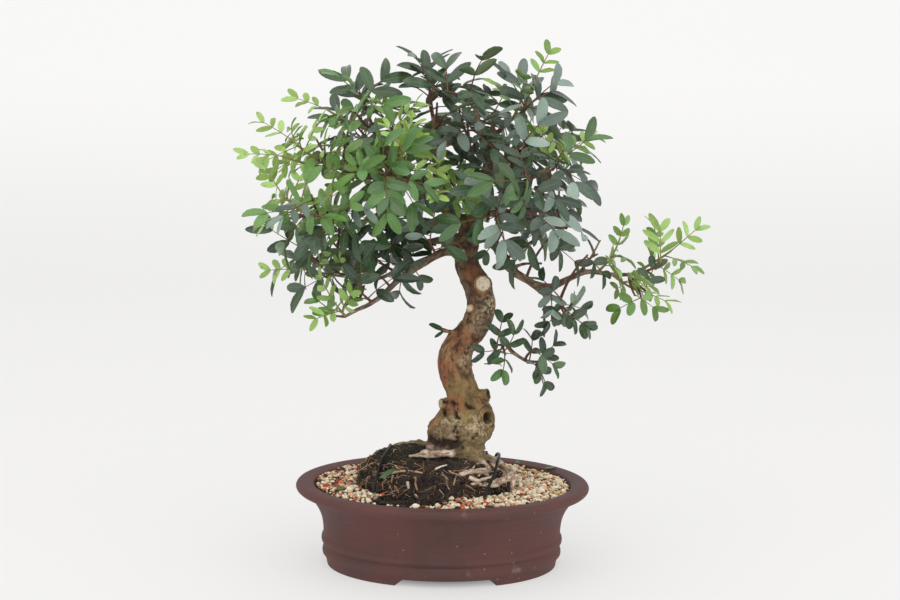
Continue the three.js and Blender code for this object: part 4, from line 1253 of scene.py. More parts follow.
class BONSAI_OT_root_ball(bpy.types.Operator):
    """Shapes the clod of old soil and sets loose crumbs on it"""

    bl_idname = "bonsai.root_ball"
    bl_label = "Root ball"

    def execute(self, context):
        draw = random.Random(context.scene.bonsai_pot.seed + 1).random
        bm = new_bmesh("moss")
        made = bmesh.ops.create_icosphere(bm, subdivisions=BALL_FINENESS, radius=1)["verts"]
        moss = bm.verts.layers.float["moss"]
        for vert in made:
            vert.co = crumbled(ball_surface(vert.co.normalized()))
            vert[moss] = moss_share(vert.co)
        tray = new_bmesh("moss")
        for number in range(context.scene.bonsai_pot.crumbs):
            direction = Vector((draw() * 2 - 1, draw() * 2 - 1, draw() * 0.9 + 0.1)).normalized()
            spot = crumbled(ball_surface(direction))
            if number % 3 == 0:
                middle, half = SPILL["middle"], SPILL["half"]
                x, y = middle[0] + half[0] * (draw() * 2 - 1), middle[1] + half[1] * (draw() * 2 - 1)
                spot = Vector((x, y, GRIT_LEVEL + 0.8 + 1.6 * draw()))
                if spilled(x, y) > 1 or ball_power(x, y, 0) < 0.9 or not in_oval(x, y, GRIT_REACH - 3):
                    continue
            if spot.z < GRIT_LEVEL - 2:
                continue
            size = 1.4 + 3.4 * draw() ** 2
            shape = Vector((size, size * 0.8, size * 0.7))
            crumb = add_pebble(tray, spot, shape, any_turn(draw), 0.7, draw, smooth=False)
            give(tray, crumb, moss=moss_share(spot) * draw())
            if number % TRAY == 0:
                tray = pour(tray, bm, "moss")
        pour(tray, bm, "moss")
        shade_smooth(bm)
        make_piece("root_ball_soil", bm, [finish_of("soil")], ["root_ball"])
        return {"FINISHED"}


def rootlet_path(draw, start, count, stride, wander):
    """Points of a root that creeps over the root ball."""
    direction = start.normalized()
    course = Vector((draw() - 0.5, draw() - 0.5, draw() - 0.7)).normalized()
    points = []
    for step in range(count):
        spot = crumbled(ball_surface(direction, 0.2))
        points.append(spot + direction * (0.3 + 0.5 * math.sin(step * 1.7) * draw()))
        course = (course + wander * Vector((draw() - 0.5, draw() - 0.5, draw() - 0.56))).normalized()
        direction = (direction + (course - direction * course.dot(direction)) * stride / 60).normalized()
    return points


# Bare roots on the front of the ball: across and height of their points, radius, and how pale they are
BARE_ROOTS = [
    ([(19, 87), (26, 84), (33, 85), (42, 85)], 1.6, 0.95),
    ([(40, 82), (47, 79), (54, 83), (61, 87)], 1.8, 1), ([(61, 82), (57, 76), (54, 68)], 1.7, 0.97),
    ([(12, 90), (18, 92), (24, 92), (32, 89), (41, 86)], 0.9, 0.9),
    ([(24, 93), (29, 95), (34, 95), (40, 91)], 0.9, 0.8),
    ([(42, 95), (46, 89), (52, 86), (60, 84)], 1.5, 1), ([(27, 87), (31, 89), (37, 88)], 0.8, 0.85),
    ([(-9, 94), (-4, 95), (1, 96)], 0.9, 1), ([(-45, 89), (-37, 91), (-28, 92), (-20, 91)], 1, 0.72),
    ([(-44, 88), (-47, 84), (-49, 78)], 0.8, 0.8), ([(-32, 84), (-31, 79)], 1.2, 0.85),
    ([(-26, 88), (-26, 83), (-24, 78)], 1, 0.55), ([(-43, 81), (-39, 75)], 0.9, 0.5),
    ([(-26, 75), (-22, 70), (-19, 66)], 0.5, 0.9), ([(1, 88), (1, 83), (3, 79)], 0.4, 0.85),
    ([(8, 87), (6, 82)], 0.5, 0.75), ([(17, 82), (20, 80), (25, 77)], 0.6, 0.55),
    ([(10, 76), (16, 74), (22, 75)], 0.7, 0.3), ([(3, 93), (7, 91), (12, 89)], 0.7, 0.7),
    ([(7, 93), (15, 93), (20, 94)], 0.8, 0.5), ([(-44, 96), (-40, 93), (-37, 92)], 0.7, 0.8),
    ([(-58, 84), (-62, 78), (-64, 72)], 0.6, 0.6),
]


class BONSAI_OT_rootlets(bpy.types.Operator):
    """Lays fine roots over the root ball, and the bare ones that stand out on its front"""

    bl_idname = "bonsai.rootlets"
    bl_label = "Fine roots"

    def execute(self, context):
        draw = random.Random(context.scene.bonsai_pot.seed + 2).random
        bm = new_bmesh("tone")
        for spots, radius, tone in BARE_ROOTS:
            points = [front_of_ball(*spot) for spot in spots]
            points = [point + (point - BALL["middle"]).normalized() * (0.5 * radius) for point in points]
            made = add_tube(bm, Line(points), 8 * (len(points) - 1), 10,
                            lambda along, turn, centre, radius=radius: radius
                            * (1.15 - 0.4 * along + 0.16 * noise.noise(centre / 2.6)))
            give(bm, made, tone=tone)
        for _ in range(context.scene.bonsai_pot.rootlets):
            start = Vector((draw() * 1.9 - 1, draw() * 1.7 - 1, 0.15 + 0.75 * draw()))
            thick = 0.16 + 0.42 * draw() ** 3
            count = 5 + int(6 * draw())
            points = rootlet_path(draw, start, count, 3.4, 1.3)
            made = add_tube(bm, Line(points), 2 * (count - 1), 5,
                            lambda along, turn, centre, thick=thick: thick * (1 - 0.6 * along))
            give(bm, made, tone=draw() ** 1.2)
        close_tubes(bm)
        shade_smooth(bm)
        make_piece("fine_roots", bm, [finish_of("rootlet")])
        return {"FINISHED"}


class BONSAI_OT_moss(bpy.types.Operator):
    """Plants tiny tufts of moss where the root ball stays damp"""

    bl_idname = "bonsai.moss"
    bl_label = "Moss"

    def execute(self, context):
        draw = random.Random(context.scene.bonsai_pot.seed + 3).random
        bm = new_bmesh("tone")
        planted = 0
        while planted < context.scene.bonsai_pot.moss_tufts:
            direction = Vector((draw() * 1.6 - 1.2, draw() * 1.8 - 0.9, 0.25 + draw() * 0.8)).normalized()
            spot = crumbled(ball_surface(direction))
            if draw() > moss_share(spot) or spot.z < GRIT_LEVEL:
                continue
            tall = 1.1 + 1.5 * draw()
            made = bmesh.ops.create_cone(bm, cap_ends=True, segments=3, radius1=0.42, radius2=0.06,
                                         depth=tall)["verts"]
            lean = (direction + Vector((draw() - 0.5, draw() - 0.5, draw() - 0.2)) * 1.1).normalized()
            turn = lean.to_track_quat("Z", "Y").to_matrix()
            for vert in made:
                vert.co = spot + turn @ (vert.co + Vector((0, 0, tall * 0.4)))
            give(bm, made, tone=draw())
            planted += 1
        make_piece("moss_tufts", bm, [finish_of("moss")])
        return {"FINISHED"}


# How high the old bulge of the trunk reaches, and over which height it ends
BULGE_TOP = 160
BULGE_FADE = 45


def oldness(height):
    """1 in the old bulge near the soil, 0 above it."""
    return clamped((BULGE_TOP - height) / BULGE_FADE)


def trunk_radius():
    """Ribs and knots swell the trunk, most of all over the old bulge near the soil."""
    girths = Line([(radius, number, 0) for number, (_, _, _, radius) in enumerate(TRUNK)])

    def radius_at(along, turn, centre):
        old = oldness(centre.z)
        ribs = 0.025 * math.sin(3 * turn + centre.z / 21) + 0.02 * math.sin(5 * turn - centre.z / 13)
        knots = 0.09 * old * math.sin(4 * turn + centre.z / 9) * math.cos(centre.z / 7 + turn)
        return girths.at(along).x * (1 + ribs + knots)

    return radius_at


def tapering(start, end):
    return lambda along, turn, centre: max(1.15, start + (end - start) * along ** 0.8)


TRUNK_LINE = Line(TRUNK)
LIMB_LINES = {name: Line(limb["at"]) for name, limb in LIMBS.items()}

# Cracks and the cavity in the old bulge, both sunk and painted dark as shade: both ends and the width. Then
# the places where the bark is
# speckled pale or flushed with red: the middle, how far it reaches and how strong it is
CREVICES = [((11, -27, 117), (9, -22, 127), 3.2), ((24, -27, 112), (30, -24, 122), 2.4),
            ((-15, -9, 113), (-7, -21, 112), 6), ((-7, -21, 112), (13, -27, 111), 6.5),
            ((4, -18, 139), (16, -22, 133), 2.6),
            ((0, -12, 147), (25, -21, 143), 3)]
SPECKLED = [((42, -8, 228), 22, 1), ((34, -14, 214), 16, 0.9), ((24, -16, 186), 18, 0.8),
            ((30, -26, 118), 26, 1), ((4, -24, 121), 24, 1)]
FLUSHED = [((-4, -6, 172), 20, 0.9), ((-12, -8, 132), 14, 0.6), ((12, -12, 200), 18, 0.6),
           ((22, -14, 262), 14, 0.6), ((-14, -10, 106), 12, 0.8), ((8, -18, 146), 14, 0.8)]

# Where the trunk meets the soil, seen from above
FOOT_OF_TRUNK = (12, -1)

# How pale and how dark the end of each stub is; the last stub has no cut
CUT_PALE = [1.0, 0.95, 0.85, 0.0, 0.4, 0.3]
CUT_DARK = [0.0, 0.0, 0.0, 0.85, 0.0, 0.3]

# How far the soil has washed off each root and left it pale
BARENESS = [1, 1, 0.9, 1, 0.3, 0.3]


def wood_branches():
    """Every line of the wood, with its radius where it starts and where it ends, and how bare it is."""
    rows = [(LIMB_LINES[name], limb["from"], limb["to"], 0.0) for name, limb in LIMBS.items()]
    rows += [(Line(root["at"]), 0.9 * root["from"], 0.85 * root["to"], BARENESS[number])
             for number, root in enumerate(ROOTS)]
    return rows


def stub_line(stub):
    foot, tip = Vector(stub["foot"]), Vector(stub["tip"])
    return Bow(foot, (foot + tip) / 2, tip)


def rough_wood():
    """Trunk, limbs, roots and stubs as tubes that run into one another."""
    bm = new_bmesh()
    add_tube(bm, TRUNK_LINE, 110, 36, trunk_radius())
    for line, start, end, _ in wood_branches():
        steps = 8 * (len(line.points) - 1)
        add_tube(bm, line, steps, 14, tapering(start, end))
    for stub in STUBS:
        radius = stub["radius"]
        add_tube(bm, stub_line(stub), 8, 20,
                 lambda along, turn, centre, radius=radius: radius * (1.16 - 0.14 * along))
    close_tubes(bm)
    return bm


def wood_samples():
    """Rows along every branch: middle, direction, two square to it, radius, length so far, bareness."""
    rows = []
    lines = [(TRUNK_LINE, trunk_radius(), 0.0)]
    lines += [(line, tapering(start, end), bare) for line, start, end, bare in wood_branches()]
    for line, radius, bare in lines:
        steps = 12 * (len(line.points) - 1)
        length = 0.0
        before = line.at(0)
        for step, (centre, across, over) in enumerate(sections_along(line, steps)):
            along = step / steps
            length += (centre - before).length
            before = centre
            rows.append((centre, across.cross(over), across, over, radius(along, 0, centre), length,
                         bare * eased(along * 3)))
    return rows


def reach_of(spot, places):
    """How strongly soft round places cover a point."""
    return max([0.0] + [much * eased(1.6 * (1 - (spot - Vector(middle)).length / reach))
                        for middle, reach, much in places])


def distance_to_stretch(spot, start, end):
    start, end = Vector(start), Vector(end)
    along = clamped((spot - start).dot(end - start) / (end - start).length_squared)
    return (spot - start - (end - start) * along).length


def carved(spot, girth, grain):
    """How far the bark stands out or sinks at a point, and its cut, dark and callus shares."""
    thick = clamped((girth - 1.5) / 8)
    old = oldness(spot.z)
    fine = noise.noise(Vector((grain.x / 2.4, grain.y / 2.4, grain.z / 4.5)))
    plate = noise.noise(Vector((grain.x / 6, grain.y / 6, grain.z / 9)) + Vector((3, 8, 5)))
    burl = noise.noise(spot / 8.5 + Vector((11, 2, 7)))
    flaky = noise.noise(Vector((grain.x / 3.6, grain.y / 3.6, grain.z / 5)) + Vector((9, 1, 4)))
    rise = thick * (0.5 * fine + 0.75 * plate + 1.5 * max(0, flaky - 0.18))
    rise += old * (2.2 * burl + 1.1 * flaky)
    rise += 0.15 * fine
    cut = dark = callus = 0.0
    # Painted shade: the crevices sink and are coloured dark where they sink
    for start, end, width in CREVICES:
        apart = distance_to_stretch(spot, start, end) + 1.1 * burl + 2.4 * flaky + 1.6 * fine
        sink = eased(1.5 * (1 - apart / width))
        rise -= 2.6 * sink
        dark = max(dark, 0.92 * sink)
    # Painted shade: the hollow sinks and is coloured near black, and so are two rings in the groove between
    # its raised rings
    mouth = Vector(HOLLOW["mouth"])
    apart = (spot - mouth).length
    rise += 2.4 * math.exp(-((apart - 7.6) / 1.9) ** 2) + 0.8 * math.exp(-((apart - 12.2) / 1.1) ** 2)
    hole = eased((HOLLOW["radius"] + 2.6 - apart) / 1.4)
    rise -= 5 * hole
    rings = max(0.7 * eased(1 - abs(apart - 11) / 1.1), 0.5 * eased(1 - abs(apart - 8.6) / 0.7))
    dark = max(dark, 0.95 * hole, rings)
    for stub, pale, dim in zip(STUBS, CUT_PALE, CUT_DARK):
        tip = Vector(stub["tip"])
        axis = (tip - Vector(stub["foot"])).normalized()
        ahead = (spot - tip).dot(axis)
        aside = (spot - tip - axis * ahead).length
        if abs(ahead) > 6 or aside > 2.2 * stub["radius"]:
            continue
        face = eased((ahead + 2) / 0.9) * eased((0.92 * stub["radius"] - aside) / 0.8)
        ring = math.exp(-((aside - 1.06 * stub["radius"]) / (0.2 * stub["radius"])) ** 2)
        rise += 1.1 * ring * eased((ahead + 3) / 2) + 0.12 * face * math.sin(aside * 3.4)
        callus = max(callus, ring * eased((ahead + 3.4) / 2) * pale)
        cut = max(cut, face * pale)
        dark = max(dark, face * dim)
    return rise, cut, dark, callus


class BONSAI_OT_wood(bpy.types.Operator):
    """Fuses trunk, limbs, roots and stubs, and carves the bark, the cuts and the old hollow"""

    bl_idname = "bonsai.wood"
    bl_label = "Trunk and limbs"

    def execute(self, context):
        grid = context.scene.bonsai_tree.wood_grid * 1000
        bm = modified(rough_wood(), ("REMESH", {"mode": "VOXEL", "voxel_size": grid}))
        for _ in range(3):
            bmesh.ops.smooth_vert(bm, verts=bm.verts, factor=0.5, use_axis_x=True, use_axis_y=True,
                                  use_axis_z=True)
        samples = wood_samples()
        tree = kdtree.KDTree(len(samples))
        for number, row in enumerate(samples):
            tree.insert(row[0], number)
        tree.balance()
        grain_layer = bm.verts.layers.float_vector.new("grain")
        layers = {name: bm.verts.layers.float.new(name)
                  for name in ("girth", "speckle", "flush", "cut", "dark", "callus", "moss", "bare")}
        bm.normal_update()
        moved = []
        for vert in bm.verts:
            spot = vert.co.copy()
            near = tree.find_n(spot, 6)
            number = min(near, key=lambda row: row[2] / samples[row[1]][4])[1]
            centre, ahead, across, over, girth, length, bare = samples[number]
            offset = spot - centre
            grain = Vector((offset.dot(across), offset.dot(over), length + offset.dot(ahead)))
            rise, cut, dark, callus = carved(spot, girth, grain)
            vert[grain_layer] = grain * MM
            vert[layers["girth"]] = girth
            clear = math.hypot(spot.x - FOOT_OF_TRUNK[0], spot.y - FOOT_OF_TRUNK[1])
            vert[layers["bare"]] = bare * eased((clear - 25) / 6) * eased((114 - spot.z) / 5)
            vert[layers["cut"]] = cut
            vert[layers["dark"]] = dark
            vert[layers["callus"]] = callus
            vert[layers["speckle"]] = reach_of(spot, SPECKLED)
            vert[layers["flush"]] = reach_of(spot, FLUSHED)
            low = eased((116 - spot.z) / 20) * eased((-8 - spot.x) / 12)
            vert[layers["moss"]] = 0.7 * low
            moved.append(spot + vert.normal * rise)
        for vert, spot in zip(bm.verts, moved):
            vert.co = spot
        shade_smooth(bm)
        make_piece("bark_and_wood", bm, [finish_of("bark")], ["trunk"])
        return {"FINISHED"}


class BONSAI_OT_wires(bpy.types.Operator):
    """Draws the two black wires that hold the root ball down"""

    bl_idname = "bonsai.wires"
    bl_label = "Anchor wires"

    def execute(self, context):
        for name, path in WIRE_PATHS.items():
            bm = new_bmesh()
            add_tube(bm, Line(path), 10 * (len(path) - 1), 12, lambda along, turn, centre: WIRE_RADIUS)
            close_tubes(bm)
            shade_smooth(bm)
            make_piece(name + "_coat", bm, [finish_of("coat")], [name])
        return {"FINISHED"}


class BONSAI_OT_screens(bpy.types.Operator):
    """Gives the drain screens their plastic"""

    bl_idname = "bonsai.screens"
    bl_label = "Drain screens"

    def execute(self, context):
        for name in ("drain_screen_left", "drain_screen_right"):
            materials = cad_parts[name].data.materials
            materials.clear()
            materials.append(finish_of("screen"))
        return {"FINISHED"}


class Rooms:
    """Balls of space that are taken, kept in cubes so that the near ones are found fast."""

    def __init__(self):
        self.cubes = defaultdict(list)

    def take(self, balls, owner=None):
        for centre, radius in balls:
            key = tuple(math.floor(value / CUBE) for value in centre)
            self.cubes[key].append((centre, radius, owner))

    def clear(self, balls, owner=None, share=1.0):
        for centre, radius in balls:
            i, j, k = (math.floor(value / CUBE) for value in centre)
            for cube in [(i + a, j + b, k + c) for a in (0, -1, 1) for b in (0, -1, 1) for c in (0, -1, 1)]:
                for other, reach, who in self.cubes.get(cube, ()):
                    if who is not None and who == owner:
                        continue
                    if (centre - other).length <= share * (radius + reach):
                        return False
        return True


class Leaf:
    """One compound leaf: where it grows from, which way it points and which side is up."""

    def __init__(self, kind, foot, along, up):
        self.kind, self.foot, self.along, self.up = kind, foot, along, up
        self.side = along.cross(up)
        self.age = None

    def place(self, s, q, height=0.0):
        rise = LEAFLET_CUP * abs(q) - self.kind["droop"] * s * s / self.kind["rachis"]
        return self.foot + self.along * s + self.side * q + self.up * (rise + height)

    def at(self, share):
        return self.place(share * self.kind["rachis"], 0)


def leaflet_frame(kind, pair):
    """Where a pair of leaflets starts on the rachis and how far it opens."""
    share = kind["petiole"] + (1 - kind["petiole"]) * pair / (kind["pairs"] - 1)
    return kind["rachis"] * share, END_ANGLE if pair == kind["pairs"] - 1 else PAIR_ANGLE


def leaflet_spot(foot, angle, along, across):
    s = foot + along * math.cos(angle) + across * math.sin(angle)
    return s, RACHIS_WIDTH / 2 + along * math.sin(angle) - across * math.cos(angle)


# How far along its rachis the balls lie that stand for the room it takes
RACHIS_BALLS = (0.3, 0.45, 0.6, 0.8, 1)


def leaf_room(leaf):
    """Balls along the rachis of a leaf, then balls in its leaflets."""
    kind = leaf.kind
    room = [(leaf.place(share * kind["rachis"], 0), RACHIS_WIDTH) for share in RACHIS_BALLS]
    for pair in range(kind["pairs"]):
        foot, angle = leaflet_frame(kind, pair)
        for share, fill in ((0.22, 0.4), (0.5, 0.58), (0.8, 0.42), (1, 0.2)):
            s, q = leaflet_spot(foot, angle, share * kind["leaflet"], 0)
            room += [(leaf.place(s, mirror * q), fill * kind["width"]) for mirror in (1, -1)]
    return room


def bow_between(foot, tip, rachis):
    """The stem of a shoot: to just short of the middle of its last leaves."""
    reach = (tip - foot).length
    length = max(TWIG_LEAST, reach - TIP_SHARE * rachis)
    end = foot.lerp(tip, length / reach)
    middle = (foot + end) / 2
    middle.z -= TWIG_SAG * (end - foot).length
    return Bow(foot, middle, end)


def leaf_on_twig(twig, kind, share, number, last, draw, attempt):
    """A leaf at one place on its twig; each further try turns it round the twig and opens it wider."""
    phase, roll = draw
    ahead = heading(twig, share)
    level = Vector((ahead.y, -ahead.x, 0)).normalized()
    over = level.cross(ahead)
    turn = phase + number * GOLDEN_ANGLE + attempt * TRY_TURN
    spread = (TIP_SPREAD if last else SIDE_SPREAD) + attempt * TRY_SPREAD
    along = (ahead * math.cos(spread) + level * (math.sin(spread) * math.cos(turn))
             + over * (math.sin(spread) * math.sin(turn)))
    foot = twig.at(share)
    up = Vector((0, -FRONTWARD, UPWARD)) + (foot - CROWN_CENTRE).normalized() * OUTWARD
    up = square_to(up, along)
    return Leaf(kind, foot, along, turned(up, along.cross(up), roll)[0])


def limb_room():
    rows = [(limb["from"], limb["to"], limb["at"]) for limb in LIMBS.values()]
    rows.append((12, 9, TRUNK))
    room = []
    for start, end, at in rows:
        line, count = Line(at), 5 * len(at)
        room += [(line.at(i / count), start + (end - start) * i / count + LEAF_CLEARANCE)
                 for i in range(count + 1)]
    return room


def twig_room(twig):
    return [(twig.at(share), TWIG_RADIUS + LEAF_CLEARANCE) for share in (0.15, 0.3, 0.45, 0.6, 0.75, 0.9, 1)]


def kind_name(kind):
    return "young" if kind is YOUNG else "small" if kind is SMALL else "mature"


# How far a standing leaf may be moved along the view when others are in its way; the last is where it
# stays if no place is free
STANDING_SHIFTS = (0, -8, 8, -16, 16, 24, 0)


class Twig:
    """A stem with its leaves; its line starts on a limb."""

    def __init__(self, limb, line, kind):
        self.limb, self.line, self.kind = limb, line, kind
        self.leaves = []
        self.age = 0.0


def inside_box(room):
    """Whether all the balls stay within the box of the plain model."""
    low, high = (PLACE.inverted() @ Vector(corner) for corner in CAD_BOX)
    return all(low[i] < centre[i] - 0.5 * radius and centre[i] + 0.5 * radius < high[i]
               for centre, radius in room for i in range(3))


def inside_crown(room):
    """Whether the photograph's view shows all the balls inside the outline of the crown."""
    places = [seen(centre) for centre, _ in room]
    return any(all(within(place, outline) for place in places) for outline in CROWN_OUTLINES)


def grow_plain(rooms):
    """The leaves of the plain model, each in the first try that has room."""
    twigs = []
    for limb, share, tip, kind, _ in SHOOTS:
        line = bow_between(LIMB_LINES[limb].at(share), Vector(tip), kind["rachis"])
        twigs.append(Twig(limb, line, kind))
    for number, twig in enumerate(twigs):
        rooms.take(twig_room(twig.line), owner=number)
    for owner, (_, _, _, kind, count) in enumerate(SHOOTS):
        draw = seeded(SEED + 101 * owner)
        for number in range(count):
            share = FIRST_LEAF + (1 - FIRST_LEAF) * number / (count - 1) if count > 1 else 1
            chance = (draw() * 2 * math.pi, (draw() - 0.5) * LEAF_ROLL)
            for attempt in range(TRIES):
                last = number == count - 1
                leaf = leaf_on_twig(twigs[owner].line, kind, share, number, last, chance, attempt)
                if rooms.clear(leaf_room(leaf), owner):
                    rooms.take(leaf_room(leaf))
                    twigs[owner].leaves.append(leaf)
                    break
    return twigs


def add_leaves(twig, kinds, count, rooms, owner, draw):
    """More leaves along a twig, where there is room for them."""
    for number in range(count):
        share = FIRST_MORE + (1 - FIRST_MORE) * (number + draw()) / count
        chance = (draw() * 2 * math.pi, (draw() - 0.5) * 2 * LEAF_ROLL)
        kind = kinds[int(draw() * len(kinds))]
        for attempt in range(TRIES):
            leaf = leaf_on_twig(twig.line, kind, share, number, False, chance, attempt)
            room = leaf_room(leaf)
            leaflets = room[len(RACHIS_BALLS):]
            if leaf.along.z < LOWEST_LEAN or not inside_box(room) or not inside_crown(leaflets):
                continue
            if rooms.clear(room, owner, MORE_ROOM):
                rooms.take(room)
                twig.leaves.append(leaf)
                break


def standing_twigs(rooms):
    """Twigs with one leaf each where the photograph shows leaves that stand out."""
    twigs = []
    for number, (limb, foot, end, near, kind, age) in enumerate(STANDING_LEAVES):
        line = LIMB_LINES[limb]
        for shift in STANDING_SHIFTS:
            start, tip = spot_in_view(*foot, near + shift), spot_in_view(*end, near + shift)
            along = (tip - start).normalized()
            leaf = Leaf(kind, start, along, square_to(VIEW_BACK + Vector((0, 0, 0.5)), along))
            if rooms.clear(leaf_room(leaf), None, MORE_ROOM):
                break
        leaf.age = age
        share = min((step / 60 for step in range(61)), key=lambda share: (line.at(share) - start).length)
        root = line.at(share)
        twig = Twig(limb, Bow(root, (root + start) / 2 - along * 0.1 * (start - root).length, start), kind)
        twig.leaves.append(leaf)
        rooms.take(leaf_room(leaf) + twig_room(twig.line), f"standing {number}")
        twigs.append(twig)
    return twigs


def inner_twigs(rooms, draw):
    """Twigs between the shoots, along each limb, that fill the crown."""
    twigs = []
    for limb, (first, count) in FOLIAGE.items():
        line = LIMB_LINES[limb]
        for number in range(count):
            share = first + (1 - first) * (number + 0.2 + 0.6 * draw()) / count
            foot = line.at(share)
            ahead = heading(line, share)
            outward = (foot - CROWN_CENTRE).normalized()
            wild = Vector((draw() * 2 - 1, draw() * 2 - 1, draw() * 2 - 0.7))
            course = (outward * 0.7 + wild * 1.1 + ahead * 0.25 + Vector((0, 0, 0.45))).normalized()
            tip = foot + course * (26 + 26 * draw())
            small = limb in ("low_right", "right_low")
            twig = Twig(limb, bow_between(foot, tip, 22), SMALL if small else MATURE)
            owner = f"{limb} {number}"
            kinds = [SMALL] if small else [MATURE, LONG, MATURE]
            add_leaves(twig, kinds, INNER_LEAVES, rooms, owner, draw)
            if twig.leaves:
                rooms.take(twig_room(twig.line), owner)
                twigs.append(twig)
    return twigs


def age_of(leaf, twig, draw):
    """0 for a leaf painted pale as its sheen, 0.1 for an old dark one, up to 0.9 for a fresh lime one."""
    young = twig.kind is YOUNG
    age = 0.7 + 0.25 * draw() if young else 0.02 + 0.34 * draw() ** 1.3
    middle = leaf.at(0.6)
    for centre, reach, much in FRESH_PATCHES:
        age += much * eased(1.5 * (1 - (middle - Vector(centre)).length / reach)) * (0.4 + 0.8 * draw())
    if not young:
        age = 0.08 + 0.9 * age
        # Painted sheen: more leaves to the right, and low on the right, get the pale colour at age 0
        right, low = clamped(middle.x / 40), clamped((310 - middle.z) / 50)
        pale = 0.05 + 0.46 * clamped((middle.x + 10) / 70) + 0.36 * low * right
        if draw() < pale * clamped((middle.z - 225) / 20):
            age = 0.07 * draw()
    return clamped(age, 0.0, 0.92)


def grow_crown(settings):
    """All leaves of the crown: the shoots of the plain model, and the twigs between them."""
    rooms = Rooms()
    rooms.take(limb_room())
    shoots = grow_plain(rooms)
    draw = random.Random(settings.seed).random
    standing = standing_twigs(rooms)
    for owner, twig in enumerate(shoots):
        name = kind_name(twig.kind)
        kinds = {"young": [YOUNG], "small": [SMALL], "mature": [MATURE, LONG]}[name]
        add_leaves(twig, kinds, MORE_LEAVES[name], rooms, owner, draw)
    inner = standing + inner_twigs(rooms, draw)
    for twig in shoots + inner:
        for leaf in twig.leaves:
            if leaf.age is None:
                leaf.age = age_of(leaf, twig, draw)
        twig.age = 0.75 if twig.kind is YOUNG else 0.15
    return shoots, inner


def add_leaflet(bm, leaf, foot, angle, mirror, draw):
    """One blade: a sheet shaped to an oblong leaflet, folded along its rib, rolled and bent down."""
    kind = leaf.kind
    s, q = leaflet_spot(foot, angle, 0, 0)
    start = leaf.place(s - 0.3, mirror * (q - 0.45))
    s, q = leaflet_spot(foot, angle, kind["leaflet"], 0)
    end = leaf.place(s, mirror * q)
    ahead = (end - start).normalized()
    s, q = leaflet_spot(foot, angle, kind["leaflet"] / 2, 1)
    s2, q2 = leaflet_spot(foot, angle, kind["leaflet"] / 2, -1)
    across = (leaf.place(s, mirror * q) - leaf.place(s2, mirror * q2)).normalized()
    face = ahead.cross(across).normalized()
    if face.dot(leaf.up) < 0:
        face = -face
    roll = (draw() - 0.5) * 1.3
    pitch = (draw() - 0.45) * 0.42
    side, face = turned(face.cross(ahead), face, roll)
    ahead, face = turned(ahead, face, pitch)
    length = (end - start).length * (0.86 + 0.24 * draw())
    width = kind["width"] * (0.84 + 0.3 * draw())
    bend = 0.15 + 0.55 * draw()
    fold = 0.1 + 0.3 * draw()
    skew = (draw() - 0.5) * 0.9
    made = bmesh.ops.create_grid(bm, x_segments=kind["rows"], y_segments=kind["columns"], size=0.5,
                                 calc_uvs=True)["verts"]
    for vert in made:
        share = (1 - math.cos(math.pi * (vert.co.x + 0.5))) / 2
        sweep = bend * share
        half = max(0.22, width / 2 * (4 * share * (1 - share)) ** kind["fullness"])
        offset = 2 * vert.co.y * half
        spine = start + (ahead * math.sin(sweep) - face * (1 - math.cos(sweep))) * (length / bend)
        spine += side * (skew * share * share)
        outward = face * math.cos(sweep) + ahead * math.sin(sweep)
        lift = abs(offset) * math.sin(fold) + 0.25 * math.sin(share * 9 + skew * 5) * (offset / half) ** 2
        vert.co = spine + side * (offset * math.cos(fold)) + outward * lift
    give(bm, made, age=clamped(leaf.age + (draw() - 0.5) * 0.1), tone=draw())


def add_bud(bm, spot, ahead, size, age):
    made = bmesh.ops.create_uvsphere(bm, u_segments=8, v_segments=6, radius=0.5)["verts"]
    turn = ahead.to_track_quat("Z", "Y").to_matrix()
    for vert in made:
        vert.co = spot + turn @ Vector((vert.co.x * size, vert.co.y * size, vert.co.z * size * 1.9))
    for face in faces_of(made):
        face.material_index = 2
    give(bm, made, age=age, tone=0.5)


def leafy_bmesh(twigs, draw, thick):
    """Blades with their thickness, then the stalks and stems that carry them."""
    bm = new_bmesh("age", "tone")
    for twig in twigs:
        for leaf in twig.leaves:
            for pair in range(leaf.kind["pairs"]):
                foot, angle = leaflet_frame(leaf.kind, pair)
                for mirror in (1, -1):
                    add_leaflet(bm, leaf, foot, angle, mirror, draw)
    uppers = list(bm.faces)
    tops = set(bm.verts)
    if uppers:
        bmesh.ops.solidify(bm, geom=uppers, thickness=thick)
    for face in bm.faces:
        own = sum(vert in tops for vert in face.verts)
        face.material_index = 1 if own == 0 else 0
        if 0 < own < len(face.verts):
            for edge in face.edges:
                if edge.verts[0] in tops and edge.verts[1] in tops:
                    edge.smooth = False
    for twig in twigs:
        made = add_tube(bm, twig.line, 10, 8, lambda along, turn, centre: TWIG_RADIUS * (1.3 - 0.5 * along)
                        * (1 + 0.06 * math.sin(along * 31)), material=2)
        give(bm, made, age=twig.age, tone=draw())
        for leaf in twig.leaves:
            made = add_tube(bm, leaf, 8, 6, lambda along, turn, centre: 0.66 - 0.24 * along, material=2,
                            flatten=0.8)
            give(bm, made, age=clamped(leaf.age + 0.12, 0, 0.9), tone=draw())
    close_tubes(bm)
    for twig in twigs:
        ahead = heading(twig.line, 1)
        add_bud(bm, twig.line.at(1) + ahead * 0.9, ahead, 1.9, 0.9 if twig.kind is YOUNG else 0.35)
    shade_smooth(bm)
    return bm


CROWN = {}


def crown(settings):
    """The crown is grown once and used by the operators that make its pieces."""
    if not CROWN:
        CROWN["shoots"], CROWN["inner"] = grow_crown(settings)
    return CROWN["shoots"], CROWN["inner"]


def leaf_materials():
    return [finish_of("leaf"), finish_of("leaf_under"), finish_of("stalk")]


